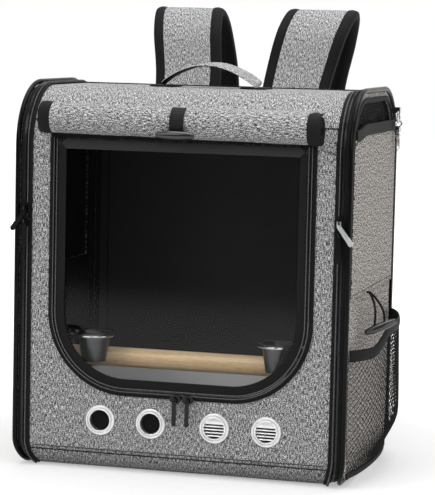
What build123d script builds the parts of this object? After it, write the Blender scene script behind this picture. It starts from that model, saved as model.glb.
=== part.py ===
from build123d import *
import os
from math import cos, radians, sin, sqrt

# Bird travel carrier: a soft backpack cage that stands on its base.
# Millimetres. X to the right, Y to the back, Z up, origin at the centre of the base.

# ---- driving dimensions: the padded body -------------------------------------------------
BODY_W = 345.0        # over the corner pipings, left to right
BODY_D = 214.0        # fabric front to fabric back
BODY_H = 385.0        # fabric top above the ground
TOP_R = 60.0          # arch over front and back top edges, seen from the side
FOOT_R = 24.0         # roll-under of the fabric at the base
WALL = 4.0            # padded fabric wall
BASE_SEAM_Z = 18.0    # seam between the base panel and the walls
PIPE_D = 5.0          # glossy corner piping
BOARD_T = 3.0         # plastic stiffener boards

# ---- side zips and side doors ------------------------------------------------------------
END_BAND = 11.5       # parting line of a side zip to the outside of the corner piping
TAPE_W = 6.0          # fixed zip tape beside the parting line
TAPE_T = 1.2          # thickness of any zip tape
DOOR_GAP = 0.3        # play between the door and the fixed body
HINGE_INSET = 2.0     # hinge line in front of the fabric back
PLATE_T = 3.5         # door panel
PIPE_FOOT = 0.2       # clearance of the corner piping over the ground
PIPE_STAND = 0.1      # piping over the fabric edge that it is sewn along
DOOR_RIM = 8.0        # fabric rim round the door's mesh window
MESH_SILL_Z = 196.0   # lower edge of the mesh window
MESH_T = 0.8          # mesh sheet
MESH_LAP = 3.0        # how far a mesh sheet reaches past its opening
SHADE_FOOT_Z = 186.0  # seam that the shade is sewn to
SHADE_DROP = 30.0     # bound upper edge of the shade under the top of the body
SHADE_T = 1.4
SHADE_SIDE = 7.0      # shade's side edge in from the corner of the door
BIND_H = 11.0         # height of the bound edge on the shade
BIND_PROUD = 1.0      # how far the bound edge stands over the shade

# ---- front window ------------------------------------------------------------------------
WIN_MARGIN = 24.5     # outer edge of the window's zip tape to the parting line of the side zip
WIN_FOOT_Z = 78.0     # lower edge of that tape
WIN_DROP = 51.0       # hinge line of the window flap under the top of the body
WIN_R = 82.0          # lower corners
WIN_TAPE = 6.0        # fixed tape width
FRAME_W = 11.0        # width of the flap's bound frame
FRAME_T = 2.6
PANE_T = 0.8
PANE_LAP = 4.0        # pane let into the frame

# ---- vents -------------------------------------------------------------------------------
VENT_ROW_X = 6.0      # middle of the row
VENT_Z = 52.0
VENT_NEAR = 33.0      # inner pair, either side of the middle of the row
VENT_FAR = 86.0       # outer pair
VENT_R = 15.0         # flange
VENT_BORE_R = 10.2    # clear opening
VENT_BARREL_R = 11.0  # hole in the fabric
SLATS = 5
SLAT_T = 1.1

# ---- rolled curtain ----------------------------------------------------------------------
ROLL_R = 16.0
ROLL_OVER_ARC = 27.0  # middle of the roll above the centre of the arch
ROLL_IN_LEFT = 20.0   # left end of the roll to the parting line of the side zip
ROLL_IN_RIGHT = 18.0
END_BIND_W = 12.0     # bound ends of the roll
END_BIND_T = 0.8
LOOP_W = 14.0         # webbing loop round the roll
LOOP_X = 2.0
TOGGLE_L = 38.0
TOGGLE_D = 9.0

# ---- carry handle and shoulder straps ----------------------------------------------------
HANDLE_X0 = -53.0     # ends of the handle, measured along the carrier
HANDLE_X1 = 49.0
HANDLE_RISE = 24.0
HANDLE_W = 28.0
HANDLE_T = 3.4
HANDLE_PAD_L = 26.0   # sewn patch under each end of the handle
PAD_W = 104.0         # one cushion on the back
PAD_H = 190.0
PAD_T = 8.0
PAD_R = 22.0
PAD_X = 62.0          # middle of a cushion, either side of the air channel
PAD_Z = 205.0
STRAP_W = 74.0
STRAP_END_W = 66.0
STRAP_T = 11.0
YOKE_T = 2.5
YOKE_X0 = -102.0      # patch that the padded straps are sewn to
YOKE_X1 = 112.0
PATCH_W = 40.0        # sewn triangle at the lower end of a webbing
PATCH_H = 34.0
PATCH_CUT = 26.0      # its sloping edge runs in by this much
WEB_W = 25.0
WEB_T = 2.0

# ---- zip sliders and pulls ---------------------------------------------------------------
SLIDER_L = 12.0
SLIDER_W = 9.0
SLIDER_T = 2.4
CROWN_R = 2.2         # bridge that the pull hangs on
CROWN_T = 1.3
PULL_L = 26.0
PULL_W = 6.0
PULL_T = 1.5
PULL_PLAY = 0.5       # slack of a pull beside and in its bridge
UPPER_LEAN = 36.0     # upper pull of a side zip turned clear of the lower slider, degrees
SIDE_SLIDER_Z = 256.0  # where the two sliders of a side zip meet
SLIDER_GAP = 1.0      # between two sliders that meet
CHAIN_RISE = 1.4      # zip coil over its tape
SLIDER_LIFT = 0.6     # slider over the coil

# ---- tray, perch and cups ----------------------------------------------------------------
TRAY_END_PLAY = 6.0   # tray rim to the parting line of the side zip
TRAY_DRAFT = 5.0      # half-length and half-depth lost from rim to floor
TRAY_RIM_Z = 74.0
TRAY_T = 2.5
TRAY_LIP = 2.0
TRAY_PLAY = 5.0       # tray rim to fabric back and front
TRAY_R = 22.0
PERCH_D = 20.0
PERCH_Y = -50.0
PERCH_Z = 108.0
STAND_T = 4.0
STAND_FOOT_L = 44.0   # foot of a stand on the tray's floor
STAND_FOOT_H = 10.0
STAND_FOOT_SHIFT = 5.0    # middle of the foot behind the perch
SOCKET_WALL = 4.0
SOCKET_L = 12.0
CUP_IN = 47.2         # middle of a cup to the inner face of its perch stand
CUP_Y = -82.0
CUP_RIM_Z = 137.0
CUP_R = 17.4          # body just under the rim
CUP_FOOT_R = 12.0
CUP_H = 29.0
CUP_RIM_W = 2.1
CUP_T = 0.8
WIRE_D = 3.0          # cup ring wire
NUT_D = 10.0          # clamp nut of a cup ring
NUT_T = 4.0
CUP_TAPER = 0.5       # cup's body inside its rim's seat
FIT = 0.3             # clearance of a part that lies on or in another

# ---- bottle pocket and snap hook ---------------------------------------------------------
POCKET_BULGE = 28.0
POCKET_T = 1.5
POCKET_FOOT_Z = 10.0
POCKET_Y0 = -101.0
POCKET_Y1 = 98.0
POCKET_RIM = 12.0     # bound rim
POCKET_WAIST_Z = 58.0     # where the pocket bulges most
MOUTH_FRONT_Z = 137.0     # mouth of the pocket at the front, and at the back
MOUTH_BACK_Z = 156.0
TOGGLE_OUT = 21.0     # middle of the toggle out from the door, and above the front of the mouth
TOGGLE_UP = 18.0
TOGGLE_Y = -50.5
ELASTIC_Y = -38.0     # where the elastic leaves the shade's seam
ELASTIC_D = 2.4
HOOK_Y = 84.0
RING_OVER_SHADE = 3.0     # middle of the ring above the shade's bound edge
RING_R = 6.0
RING_WIRE = 2.0

# ---- values worked out from the above ----------------------------------------------------
HALF_D = BODY_D / 2
ARC_Y = HALF_D - TOP_R              # centre of the rear arch; the front one is at -ARC_Y
ARC_Z = BODY_H - TOP_R
OUT_X = BODY_W / 2
CHAIN_X = OUT_X - END_BAND          # parting line of a side zip, from the centre plane
WIN_HALF = CHAIN_X - WIN_MARGIN
WIN_TOP_Z = BODY_H - WIN_DROP
ROLL_Z = ARC_Z + ROLL_OVER_ARC
ROLL_X0 = ROLL_IN_LEFT - CHAIN_X
ROLL_X1 = CHAIN_X - ROLL_IN_RIGHT
SHADE_TOP_Z = BODY_H - SHADE_DROP
RING_Z = SHADE_TOP_Z + RING_OVER_SHADE
TRAY_HALF_X = CHAIN_X - TRAY_END_PLAY
STAND_X = TRAY_HALF_X - TRAY_DRAFT - TRAY_T - FIT      # outer face of a perch stand
CUP_X = STAND_X - STAND_T - CUP_IN
PIPE_R = PIPE_D / 2
DOOR_FOOT = PIPE_FOOT + PIPE_D + PIPE_STAND    # lower edge of the door, over its piping
DOOR_X0 = CHAIN_X + DOOR_GAP
PLATE_X1 = OUT_X - 1.8              # outer face of the door panel, behind the shade
PLATE_X0 = PLATE_X1 - PLATE_T
HINGE_Y = HALF_D - HINGE_INSET
SKIN_X = PLATE_X1 + 0.2             # inner face of what is sewn on the door
FAR = 600.0                         # larger than the carrier, for cutting tools
FRONT_Y = -HALF_D
CHAIN_Y = FRONT_Y - TAPE_T - CHAIN_RISE
SLIDER_Y = CHAIN_Y - SLIDER_LIFT    # underside of a side slider
FLOOR_Z = WALL + 0.1 + BOARD_T + 0.2


def side_face(grow, foot):
    """Side outline of the carrier, offset outwards by grow, with its lower edge at foot."""
    width = 2 * (HALF_D + grow)
    height = BODY_H + grow - foot
    face = Pos(0, foot + height / 2) * Rectangle(width, height)
    face = fillet(face.vertices().group_by(Axis.Y)[-1], TOP_R + grow)
    face = fillet(face.vertices().group_by(Axis.Y)[0], max(FOOT_R + grow, 1))
    return Plane.YZ * face


def side_ring(outer, inner, x0, x1, foot_outer, foot_inner):
    """Hoop between two side outlines, from x0 to x1."""
    face = side_face(outer, foot_outer) - side_face(inner, foot_inner)
    return Pos(x0, 0, 0) * extrude(face, amount=x1 - x0)


def block(x0, x1, y0, y1, z0, z1):
    """Box between two corners."""
    size = Box(x1 - x0, y1 - y0, z1 - z0)
    return Pos((x0 + x1) / 2, (y0 + y1) / 2, (z0 + z1) / 2) * size


def both_sides(solid):
    """The solid and its mirror image across the centre plane."""
    return solid + mirror(solid, about=Plane.YZ)


def side_prism(points, x0, x1):
    """Polygon in the side view, given as (y, z) points, from x0 to x1."""
    face = Plane.YZ * make_face(Polyline(*points, close=True))
    return Pos(x0, 0, 0) * extrude(face, amount=x1 - x0)


# ---- fabric body -------------------------------------------------------------------------
def wrap():
    return side_ring(0, -WALL, -CHAIN_X, CHAIN_X, 0, WALL)


def roof_wedge():
    """Everything above the two seams at 45 degrees on the arches."""
    reach = FAR / 2
    points = [(-ARC_Y, ARC_Z), (-ARC_Y - reach, ARC_Z + reach),
              (ARC_Y + reach, ARC_Z + reach), (ARC_Y, ARC_Z)]
    return side_prism(points, -FAR, FAR)


def front_outline(inset, top=WIN_TOP_Z):
    """Window outline in the front view, drawn in from the tape's outer edge by inset."""
    half = WIN_HALF - inset
    height = top - WIN_FOOT_Z - inset
    face = Pos(0, top - height / 2) * Rectangle(2 * half, height)
    face = fillet(face.vertices().group_by(Axis.Y)[0], WIN_R - inset)
    return Plane.XZ * face


def through_front(face, y0, y1):
    """Front-view face made solid from y0 to y1."""
    return Pos(0, y1, 0) * extrude(face, amount=y1 - y0)


def vent_places():
    return [VENT_ROW_X + x for x in (-VENT_FAR, -VENT_NEAR, VENT_NEAR, VENT_FAR)]


def at_vent(x):
    """Frame at a vent, on the front fabric, with its Z axis pointing out of the carrier."""
    return Plane(origin=(x, FRONT_Y, VENT_Z), x_dir=(1, 0, 0), z_dir=(0, -1, 0))


def fabric_panels():
    body = wrap()
    below = block(-FAR, FAR, -FAR, FAR, -FAR, BASE_SEAM_Z)
    walls = body - roof_wedge() - below
    front = walls & block(-FAR, FAR, -FAR, 0, -FAR, FAR)
    front -= through_front(front_outline(WIN_TAPE), FRONT_Y - WALL, FRONT_Y + 2 * WALL)
    for x in vent_places():
        front -= at_vent(x) * Cylinder(VENT_BARREL_R, 4 * WALL)
    back = walls & block(-FAR, FAR, 0, FAR, -FAR, FAR)
    return {"front_panel": front, "back_panel": back,
            "top_panel": body & roof_wedge(), "base_panel": body & below}


def stiffener_boards():
    """Base board on the base panel and back board on the back panel."""
    clear = FIT / 3
    flat_y = HALF_D - FOOT_R
    board_x = CHAIN_X - 18
    base = block(-board_x, board_x, -flat_y, flat_y, WALL + clear, WALL + clear + BOARD_T)
    back_y = HALF_D - WALL - clear
    back = block(-board_x, board_x, back_y - BOARD_T, back_y, TRAY_RIM_Z + 8, ARC_Z)
    return base + back


def hoop_frames():
    """Flat sprung hoops in the side seams that hold the arch."""
    outer = -WALL - FIT / 2
    strip = 2.0
    x0 = CHAIN_X - 16
    hoop = side_ring(outer, outer - strip, x0, x0 + 8, -outer, strip - outer)
    return both_sides(hoop)


def back_pad():
    """Two padded cushions on the back, either side of an air channel."""
    pad = Pos(PAD_X, HALF_D + FIT + PAD_T / 2, PAD_Z) * Box(PAD_W, PAD_T, PAD_H)
    pad = fillet(pad.edges().filter_by(Axis.Y), PAD_R)
    pad = fillet(pad.faces().sort_by(Axis.Y)[-1].edges(), PAD_T * 0.4)
    return both_sides(pad)


# ---- side zips, hinges and doors ---------------------------------------------------------
def side_zip_tapes():
    tape = side_ring(TAPE_T, 0, CHAIN_X - TAPE_W, CHAIN_X, -TAPE_T, 0)
    coil = side_ring(TAPE_T + CHAIN_RISE, TAPE_T, CHAIN_X - 3, CHAIN_X,
                     -TAPE_T - CHAIN_RISE, -TAPE_T)
    ground = block(-FAR, FAR, -FAR, FAR, -FAR, 1)
    return both_sides(tape + coil - ground)


def door_zip_ring(x0):
    foot = DOOR_FOOT - TAPE_T
    x1 = OUT_X - PIPE_D - 0.2
    tape = side_ring(TAPE_T, 0, x0, x1, foot, DOOR_FOOT)
    coil = side_ring(TAPE_T + CHAIN_RISE, TAPE_T, x0, x0 + 3, foot - CHAIN_RISE, foot)
    return tape + coil


def door_piping():
    outline = side_face(PIPE_R + PIPE_STAND, PIPE_FOOT + PIPE_R).face().outer_wire()
    path = outline.moved(Location((OUT_X - PIPE_R, 0, 0)))
    start = Plane(origin=path @ 0, z_dir=path % 0)
    return sweep(start * Circle(PIPE_R), path=path)


def door_pan(x0):
    rim = side_ring(0, -WALL, x0, PLATE_X0, DOOR_FOOT, DOOR_FOOT + WALL)
    plate = Pos(PLATE_X0, 0, 0) * extrude(side_face(0, DOOR_FOOT), amount=PLATE_T)
    return rim + plate


def mesh_opening(lap):
    """Arched window outline of the door in the side view, grown by lap."""
    half = HALF_D - DOOR_RIM + lap
    foot = MESH_SILL_Z - lap
    top = BODY_H - DOOR_RIM + lap
    face = Pos(0, (foot + top) / 2) * Rectangle(2 * half, top - foot)
    face = fillet(face.vertices().group_by(Axis.Y)[-1], TOP_R - DOOR_RIM + lap)
    return Plane.YZ * face


def ahead_of_hinge():
    return block(-FAR, FAR, -FAR, HINGE_Y, -FAR, FAR)


def hinge_bindings():
    """Fixed strip down the rear corner that the door is sewn to."""
    end = door_pan(CHAIN_X) + door_zip_ring(CHAIN_X) + door_piping()
    return both_sides(end - block(-FAR, FAR, -FAR, HINGE_Y + DOOR_GAP, -FAR, FAR))


def shade():
    """Fabric shade over the door's mesh window, sewn in along its foot."""
    side = HALF_D - SHADE_SIDE
    cloth = block(SKIN_X, SKIN_X + SHADE_T, -side, side, SHADE_FOOT_Z, SHADE_TOP_Z)
    dip = 5.0
    z0 = SHADE_TOP_Z - BIND_H
    band = [(-side, z0 - dip), (-side / 2, z0), (side, z0), (side, SHADE_TOP_Z),
            (-side / 2, SHADE_TOP_Z), (-side, SHADE_TOP_Z - dip)]
    edge = side_prism(band, SKIN_X, SKIN_X + SHADE_T + BIND_PROUD)
    above = [(-side, SHADE_TOP_Z - dip), (-side / 2, SHADE_TOP_Z), (-side, SHADE_TOP_Z)]
    corners = side_ring(FAR, -SHADE_SIDE, SKIN_X - 1, SKIN_X + 9, -FAR, DOOR_FOOT)
    return cloth + edge - side_prism(above, SKIN_X - 1, SKIN_X + 9) - corners


def door_parts():
    opening = Pos(PLATE_X0 - 1, 0, 0) * extrude(mesh_opening(0), amount=PLATE_T + 2)
    sheet_x = PLATE_X0 - 0.1 - MESH_T
    parts = {"panel": door_pan(DOOR_X0) - opening,
             "zip": door_zip_ring(DOOR_X0),
             "piping": door_piping(),
             "mesh": Pos(sheet_x, 0, 0) * extrude(mesh_opening(MESH_LAP), amount=MESH_T),
             "shade": shade()}
    nodes = {}
    for name, solid in parts.items():
        right = solid & ahead_of_hinge()
        nodes["door_" + name + "_right"] = right
        nodes["door_" + name + "_left"] = mirror(right, about=Plane.YZ)
    return nodes


# ---- front window ------------------------------------------------------------------------
def window_zip_tape():
    tape = through_front(front_outline(0) - front_outline(WIN_TAPE), FRONT_Y - TAPE_T, FRONT_Y)
    ridge = front_outline(WIN_TAPE - 3) - front_outline(WIN_TAPE)
    return tape + through_front(ridge, CHAIN_Y, FRONT_Y - TAPE_T)


def window_flap():
    """Bound frame and the clear pane let into it."""
    edge = WIN_TAPE + DOOR_GAP
    inner = edge + FRAME_W
    top = WIN_TOP_Z - FRAME_W
    y0 = FRONT_Y - TAPE_T - 0.8
    band = front_outline(edge) - front_outline(inner, top)
    ridge = front_outline(edge) - front_outline(edge + 3)
    below = Plane.XZ * (Pos(0, WIN_TOP_Z / 2 - 10) * Rectangle(FAR, WIN_TOP_Z))
    frame = through_front(band, y0, y0 + FRAME_T) + through_front(ridge & below, y0 - 0.6, y0)
    pane_y = y0 + (FRAME_T - PANE_T) / 2
    pane_face = front_outline(inner - PANE_LAP, top + PANE_LAP)
    pane = through_front(pane_face, pane_y, pane_y + PANE_T)
    return {"window_frame": frame - pane, "window_pane": pane}


# ---- vents -------------------------------------------------------------------------------
def vent_ring():
    """Eyelet: two rolled beads outside, a barrel through the wall and a washer inside."""
    bead = VENT_BARREL_R + 1.0
    with BuildSketch(Plane.XZ) as profile:
        with BuildLine():
            Line((VENT_BORE_R, -WALL - 0.8), (VENT_BORE_R, 1.0))
            Polyline((VENT_BORE_R, 1.0), (VENT_BORE_R + 0.9, 1.9), (bead, 1.0), (bead + 0.3, 0.8),
                     (VENT_R - 1.1, 1.7), (VENT_R, 0.0))
            Polyline((VENT_R, 0.0), (VENT_BARREL_R, 0.0), (VENT_BARREL_R, -WALL),
                     (VENT_R - 1, -WALL), (VENT_R - 1, -WALL - 0.8),
                     (VENT_BORE_R, -WALL - 0.8))
        make_face()
    return revolve(profile.sketch, axis=Axis.Z)


def vent_louvre():
    """Ring with slats that shed rain, under a half-moon hood."""
    pitch = 2 * VENT_BORE_R / (SLATS + 2.5)
    core = Cylinder(VENT_BORE_R + 0.3, WALL)
    slats = Pos(0, VENT_BORE_R - pitch / 2 - 0.4, 0) * Box(FAR / 10, pitch + 0.8, SLAT_T)
    for index in range(SLATS):
        y = VENT_BORE_R - (index + 2.2) * pitch
        slats += Pos(0, y, 0) * Rot(35, 0, 0) * Box(FAR / 10, pitch * 0.62, SLAT_T)
    return vent_ring() + Pos(0, 0, -WALL / 2) * (slats & core)


def vents():
    far_left, near_left, near_right, far_right = [at_vent(x) for x in vent_places()]
    plain = vent_ring()
    louvred = vent_louvre()
    return {"vent_rings": far_left * plain + near_left * plain,
            "vent_louvres": near_right * louvred + far_right * louvred}


# ---- rolled curtain ----------------------------------------------------------------------
BIND_R = ROLL_R + END_BIND_T
ROLL_Y = -ARC_Y - sqrt((TOP_R + BIND_R + FIT) ** 2 - (ROLL_Z - ARC_Z) ** 2)


def roll_bar(x0, x1, radius):
    bar = Rot(0, 90, 0) * Cylinder(radius, x1 - x0)
    return Pos((x0 + x1) / 2, ROLL_Y, ROLL_Z) * bar


def curtain():
    """Rolled cloth, sewn along the front seam, with bound ends."""
    cloth = roll_bar(ROLL_X0 + END_BIND_W, ROLL_X1 - END_BIND_W, ROLL_R)
    seam_y = -ARC_Y - TOP_R * cos(radians(45)) - FIT
    seam_z = ARC_Z + TOP_R * sin(radians(45)) + FIT
    tail = [(seam_y, seam_z), (ROLL_Y, ROLL_Z + 2), (ROLL_Y, ROLL_Z), (seam_y, seam_z - 1.5)]
    lug = side_prism(tail, ROLL_X0 + END_BIND_W, ROLL_X1 - END_BIND_W)
    lug -= Pos(0, -ARC_Y, ARC_Z) * Rot(0, 90, 0) * Cylinder(TOP_R + FIT / 2, FAR)
    ends = (roll_bar(ROLL_X0, ROLL_X0 + END_BIND_W, BIND_R)
            + roll_bar(ROLL_X1 - END_BIND_W, ROLL_X1, BIND_R))
    return {"curtain_roll": cloth + lug, "curtain_bindings": ends}


def horn_toggle(length, thickness):
    """Turned bar with drawn-in ends, along Z."""
    half = length / 2
    radius = thickness / 2
    with BuildSketch(Plane.XZ) as profile:
        with BuildLine():
            Spline((0.55 * radius, half), (0.9 * radius, half / 2), (radius, 0),
                   (0.9 * radius, -half / 2), (0.55 * radius, -half))
            Polyline((0.55 * radius, -half), (0, -half), (0, half), (0.55 * radius, half))
        make_face()
    return revolve(profile.sketch, axis=Axis.Z)


def curtain_fastening():
    """Webbing loop over the roll and the toggle that it holds."""
    inner = ROLL_R + FIT
    outer = inner + 1.5
    band = Pos(ROLL_Y, ROLL_Z) * (Circle(outer) - Circle(inner))
    lower = ROLL_Z - outer * sin(radians(34))
    band -= Pos(ROLL_Y + FAR / 2, ROLL_Z) * Rectangle(FAR, FAR)
    band -= Pos(ROLL_Y, lower - FAR / 2) * Rectangle(FAR, FAR)
    loop = Pos(LOOP_X - LOOP_W / 2, 0, 0) * extrude(Plane.YZ * band, amount=LOOP_W)
    reach = outer + TOGGLE_D / 2 + FIT
    drop = radians(207)
    place = Pos(LOOP_X, ROLL_Y + reach * cos(drop), ROLL_Z + reach * sin(drop))
    return {"curtain_loop": loop,
            "curtain_toggle": place * Rot(0, 90, 0) * horn_toggle(TOGGLE_L, TOGGLE_D)}


# ---- carrying ----------------------------------------------------------------------------
def carry_handle():
    """Arched webbing handle with a stitched pad under each end."""
    middle = (HANDLE_X0 + HANDLE_X1) / 2
    pad_t = 1.6
    foot = BODY_H + pad_t
    with BuildSketch(Plane.XZ) as side:
        with BuildLine():
            crest = foot + HANDLE_RISE
            inner = crest - HANDLE_T
            ThreePointArc((HANDLE_X0, foot), (middle, crest), (HANDLE_X1, foot))
            Line((HANDLE_X1, foot), (HANDLE_X1 - 2 * HANDLE_T, foot))
            ThreePointArc((HANDLE_X1 - 2 * HANDLE_T, foot), (middle, inner),
                          (HANDLE_X0 + 2 * HANDLE_T, foot))
            Line((HANDLE_X0 + 2 * HANDLE_T, foot), (HANDLE_X0, foot))
        make_face()
    strap = Pos(0, HANDLE_W / 2, 0) * extrude(side.sketch, amount=HANDLE_W)
    pads = Part()
    for x in (HANDLE_X0 + HANDLE_T, HANDLE_X1 - HANDLE_T):
        pads += Pos(x, 0, BODY_H + pad_t / 2) * Box(HANDLE_PAD_L, HANDLE_W + 6, pad_t)
    return strap + pads


def from_rear_edge(points):
    """Points given as x, distance behind the back and height over the body's top."""
    return [(x, HALF_D + back, BODY_H + up) for x, back, up in points]


# Middle line of each padded strap, from its root on the yoke, over the shoulder, to its lower end.
LEFT_STRAP = from_rear_edge([(-54, -19, -33), (-56, -6, 15), (-61, 4, 57), (-65, 29, 78),
                             (-63, 59, 55), (-60, 87, -7), (-66, 97, -85), (-78, 79, -163)])
RIGHT_STRAP = from_rear_edge([(60, -19, -33), (67, -6, 15), (77, 4, 57), (84, 29, 78),
                              (76, 59, 55), (60, 87, -7), (62, 97, -85), (74, 79, -163)])
LOCK_L = 20.0         # ladder lock, end to end
LOCK_T = 5.0
LOCK_DROP = 5.0       # webbing tongue between a padded strap and its ladder lock
PATCH_X = CHAIN_X - TAPE_W - 3    # outer edge of the patch that holds a webbing's lower end
PATCH_Z = 30.0


def across(along):
    """Direction of a strap's width: as level across the carrier as its run allows."""
    return (Vector(1, 0, 0) - along * along.X).normalized()


def ribbon(points, width0, width1, thick, count):
    """Flat strip on a smooth line through the points, tapering from width0 to width1."""
    line = Spline(*points)
    sections = []
    for index in range(count):
        t = index / (count - 1)
        place = Plane(origin=line @ t, x_dir=across(line % t), z_dir=line % t)
        sections.append(place * Rectangle(width0 + (width1 - width0) * t, thick))
    return loft(sections, ruled=True)


def web_line(points, sign):
    """Straight run of a lower webbing: its ladder lock's start, its direction and its length."""
    start = Vector(*points[-1])
    end = Vector(sign * (PATCH_X - 15), HALF_D + YOKE_T + WEB_T, PATCH_Z + 12)
    return start, (end - start).normalized(), (end - start).length


def lower_webbing(points, sign):
    """Tongue from the padded strap to its lock, and the long run from the lock to the patch."""
    start, along, length = web_line(points, sign)
    tongue = Plane(origin=start, x_dir=across(along), z_dir=along) * Box(WEB_W, WEB_T, 2 * LOCK_DROP)
    sag = Vector(0, 0.04 * length, 0)
    first = LOCK_DROP + LOCK_L
    stations = []
    for t in (0, 0.33, 0.67, 1):
        stations.append(start + along * (first + (length - first) * t) + sag * (4 * t * (1 - t)))
    return tongue + ribbon(stations, WEB_W, WEB_W, WEB_T, 7)


def ladder_lock(points, sign):
    """Three-bar plastic buckle between the padded strap and its webbing."""
    start, along, _ = web_line(points, sign)
    plate = Box(WEB_W + 9, LOCK_T, LOCK_L)
    plate = fillet(plate.edges().filter_by(Axis.Y), 3)
    for z in (-LOCK_L / 4, LOCK_L / 4):
        plate -= Pos(0, 0, z) * Box(WEB_W + 1, 2 * LOCK_T, LOCK_L / 4)
    middle = start + along * (LOCK_DROP + LOCK_L / 2)
    return Plane(origin=middle, x_dir=across(along), z_dir=along) * plate


def web_patch(sign):
    """Sewn triangle at a lower corner of the back."""
    inner, outer = sign * (PATCH_X - PATCH_W), sign * PATCH_X
    corner = sign * (PATCH_X - PATCH_CUT)
    face = make_face(Polyline((inner, PATCH_Z), (outer, PATCH_Z), (outer, PATCH_Z + PATCH_H),
                              (corner, PATCH_Z + PATCH_H), close=True))
    return Pos(0, HALF_D + YOKE_T, 0) * extrude(Plane.XZ * face, amount=YOKE_T)


def carrying():
    ramp = Pos(-FAR / 2, 0, 0) * extrude(side_face(YOKE_T + FIT, 0), amount=FAR)
    yoke = side_ring(YOKE_T, 0, YOKE_X0, YOKE_X1, -YOKE_T, 0)
    patches = yoke & Pos(0, FAR / 2 + ARC_Y + 18, FAR / 2 + ARC_Z + 12) * Box(FAR, FAR, FAR)
    webs = Part()
    locks = Part()
    for points, sign in ((LEFT_STRAP, -1), (RIGHT_STRAP, 1)):
        webs += lower_webbing(points, sign)
        locks += ladder_lock(points, sign)
        patches += web_patch(sign)
    left = ribbon(LEFT_STRAP, STRAP_W, STRAP_END_W, STRAP_T, 24) - ramp
    right = ribbon(RIGHT_STRAP, STRAP_W, STRAP_END_W, STRAP_T, 24) - ramp
    return {"shoulder_strap_left": left, "shoulder_strap_right": right, "strap_patches": patches,
            "strap_webbings": webs - left - right - patches - locks, "ladder_locks": locks}


# ---- zip sliders and pulls ---------------------------------------------------------------
def hull_face(*faces):
    """Face stretched round several faces, as a string round pegs."""
    return make_hull([edge for face in faces for edge in face.edges()])


def slider(turn):
    """Slider on XY that travels at turn degrees from Y, with the bridge for its pull on Z."""
    nose = Pos(0, (SLIDER_L - SLIDER_W) / 2) * Circle(SLIDER_W / 2)
    tail = Pos(0, -SLIDER_L / 2 + SLIDER_W / 3) * Circle(SLIDER_W / 3)
    plate = Rot(0, 0, turn) * extrude(hull_face(nose, tail), amount=SLIDER_T)
    arch = Pos(-CROWN_T / 2, 0, 0) * extrude(Plane.YZ * hull_face(
        Circle(CROWN_R), Pos(0, -CROWN_R / 2) * Rectangle(2 * CROWN_R, CROWN_R)), amount=CROWN_T)
    bridge = arch - Rot(0, 90, 0) * Cylinder(CROWN_R - CROWN_T, 3 * CROWN_T)
    return plate + Pos(0, 0, SLIDER_T + CROWN_R) * bridge


def pull_tab(width, lean):
    """Pull that hangs along -Y from its pin at the origin, its blade turned aside by lean."""
    pin_r = CROWN_R - CROWN_T - PULL_PLAY / 2
    arm = PULL_PLAY + CROWN_T / 2
    pin = Rot(0, 90, 0) * Cylinder(pin_r, 2 * arm + PULL_T)
    yoke = CROWN_R + 2 * PULL_PLAY
    fork = Pos(0, (PULL_T - yoke) / 2) * Rectangle(2 * arm + 2, yoke + PULL_T)
    fork -= Pos(0, (PULL_T - yoke) / 2 + PULL_T) * Rectangle(2 * arm, yoke + PULL_T)
    fork = extrude(Pos(0, -PULL_T / 2) * fork, amount=PULL_T)
    head = Rectangle(2 * arm + 2, PULL_T)
    grip = Pos(0, yoke - PULL_L + width / 2) * Circle(width / 2)
    blade = extrude(hull_face(head, grip), amount=PULL_T)
    tab = fork + Pos(0, -yoke - PULL_T / 2, 0) * Rot(0, 0, lean) * blade
    return pin + Pos(0, 0, -PULL_T / 2) * tab


def zip_frame(x, y, z):
    """Frame on a zip at the front: X to the right, Y up, Z out of the carrier."""
    return Plane(origin=(x, y, z), x_dir=(1, 0, 0), z_dir=(0, -1, 0))


PIN_Y = SLIDER_Y - SLIDER_T - CROWN_R


def side_zip_sliders():
    """Two sliders head to head on each side zip, and their pulls."""
    nodes = {}
    lift = (SLIDER_L + SLIDER_GAP) / 2
    for side, sign in (("left", -1), ("right", 1)):
        for level, up, turn, lean, width in (("upper", 1, 180, UPPER_LEAN, PULL_W - 1),
                                             ("lower", -1, 0, 0, PULL_W)):
            x, z = sign * CHAIN_X, SIDE_SLIDER_Z + up * lift
            name = side + "_" + level
            nodes["side_slider_" + name] = zip_frame(x, SLIDER_Y, z) * slider(turn)
            nodes["side_pull_" + name] = zip_frame(x, PIN_Y, z) * pull_tab(width, sign * lean)
    return nodes


def window_sliders():
    """Two sliders nose to nose on the straight foot of the window's zip, and their pulls."""
    nodes = {}
    z = WIN_FOOT_Z + WIN_TAPE - DOOR_GAP - SLIDER_W / 2
    lift = (SLIDER_L + SLIDER_GAP) / 2
    for side, sign in (("left", -1), ("right", 1)):
        x = VENT_ROW_X + sign * lift
        nodes["window_slider_" + side] = zip_frame(x, SLIDER_Y, z) * slider(sign * 90)
        nodes["window_pull_" + side] = zip_frame(x, PIN_Y, z) * pull_tab(PULL_W - 2, 0)
    return nodes


# ---- tray, perch and cups ----------------------------------------------------------------
def tray_block(shrink, z0, z1):
    """Tapered block with round corners: the tray's outside, or its inside when shrunk."""
    half_y = HALF_D - WALL - TRAY_PLAY
    levels = []
    for z, draft in ((z0, TRAY_DRAFT), (z1, 0)):
        width = 2 * (TRAY_HALF_X - draft - shrink)
        depth = 2 * (half_y - draft - shrink)
        levels.append(Pos(0, 0, z) * RectangleRounded(width, depth, TRAY_R - shrink))
    return loft(levels)


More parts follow.
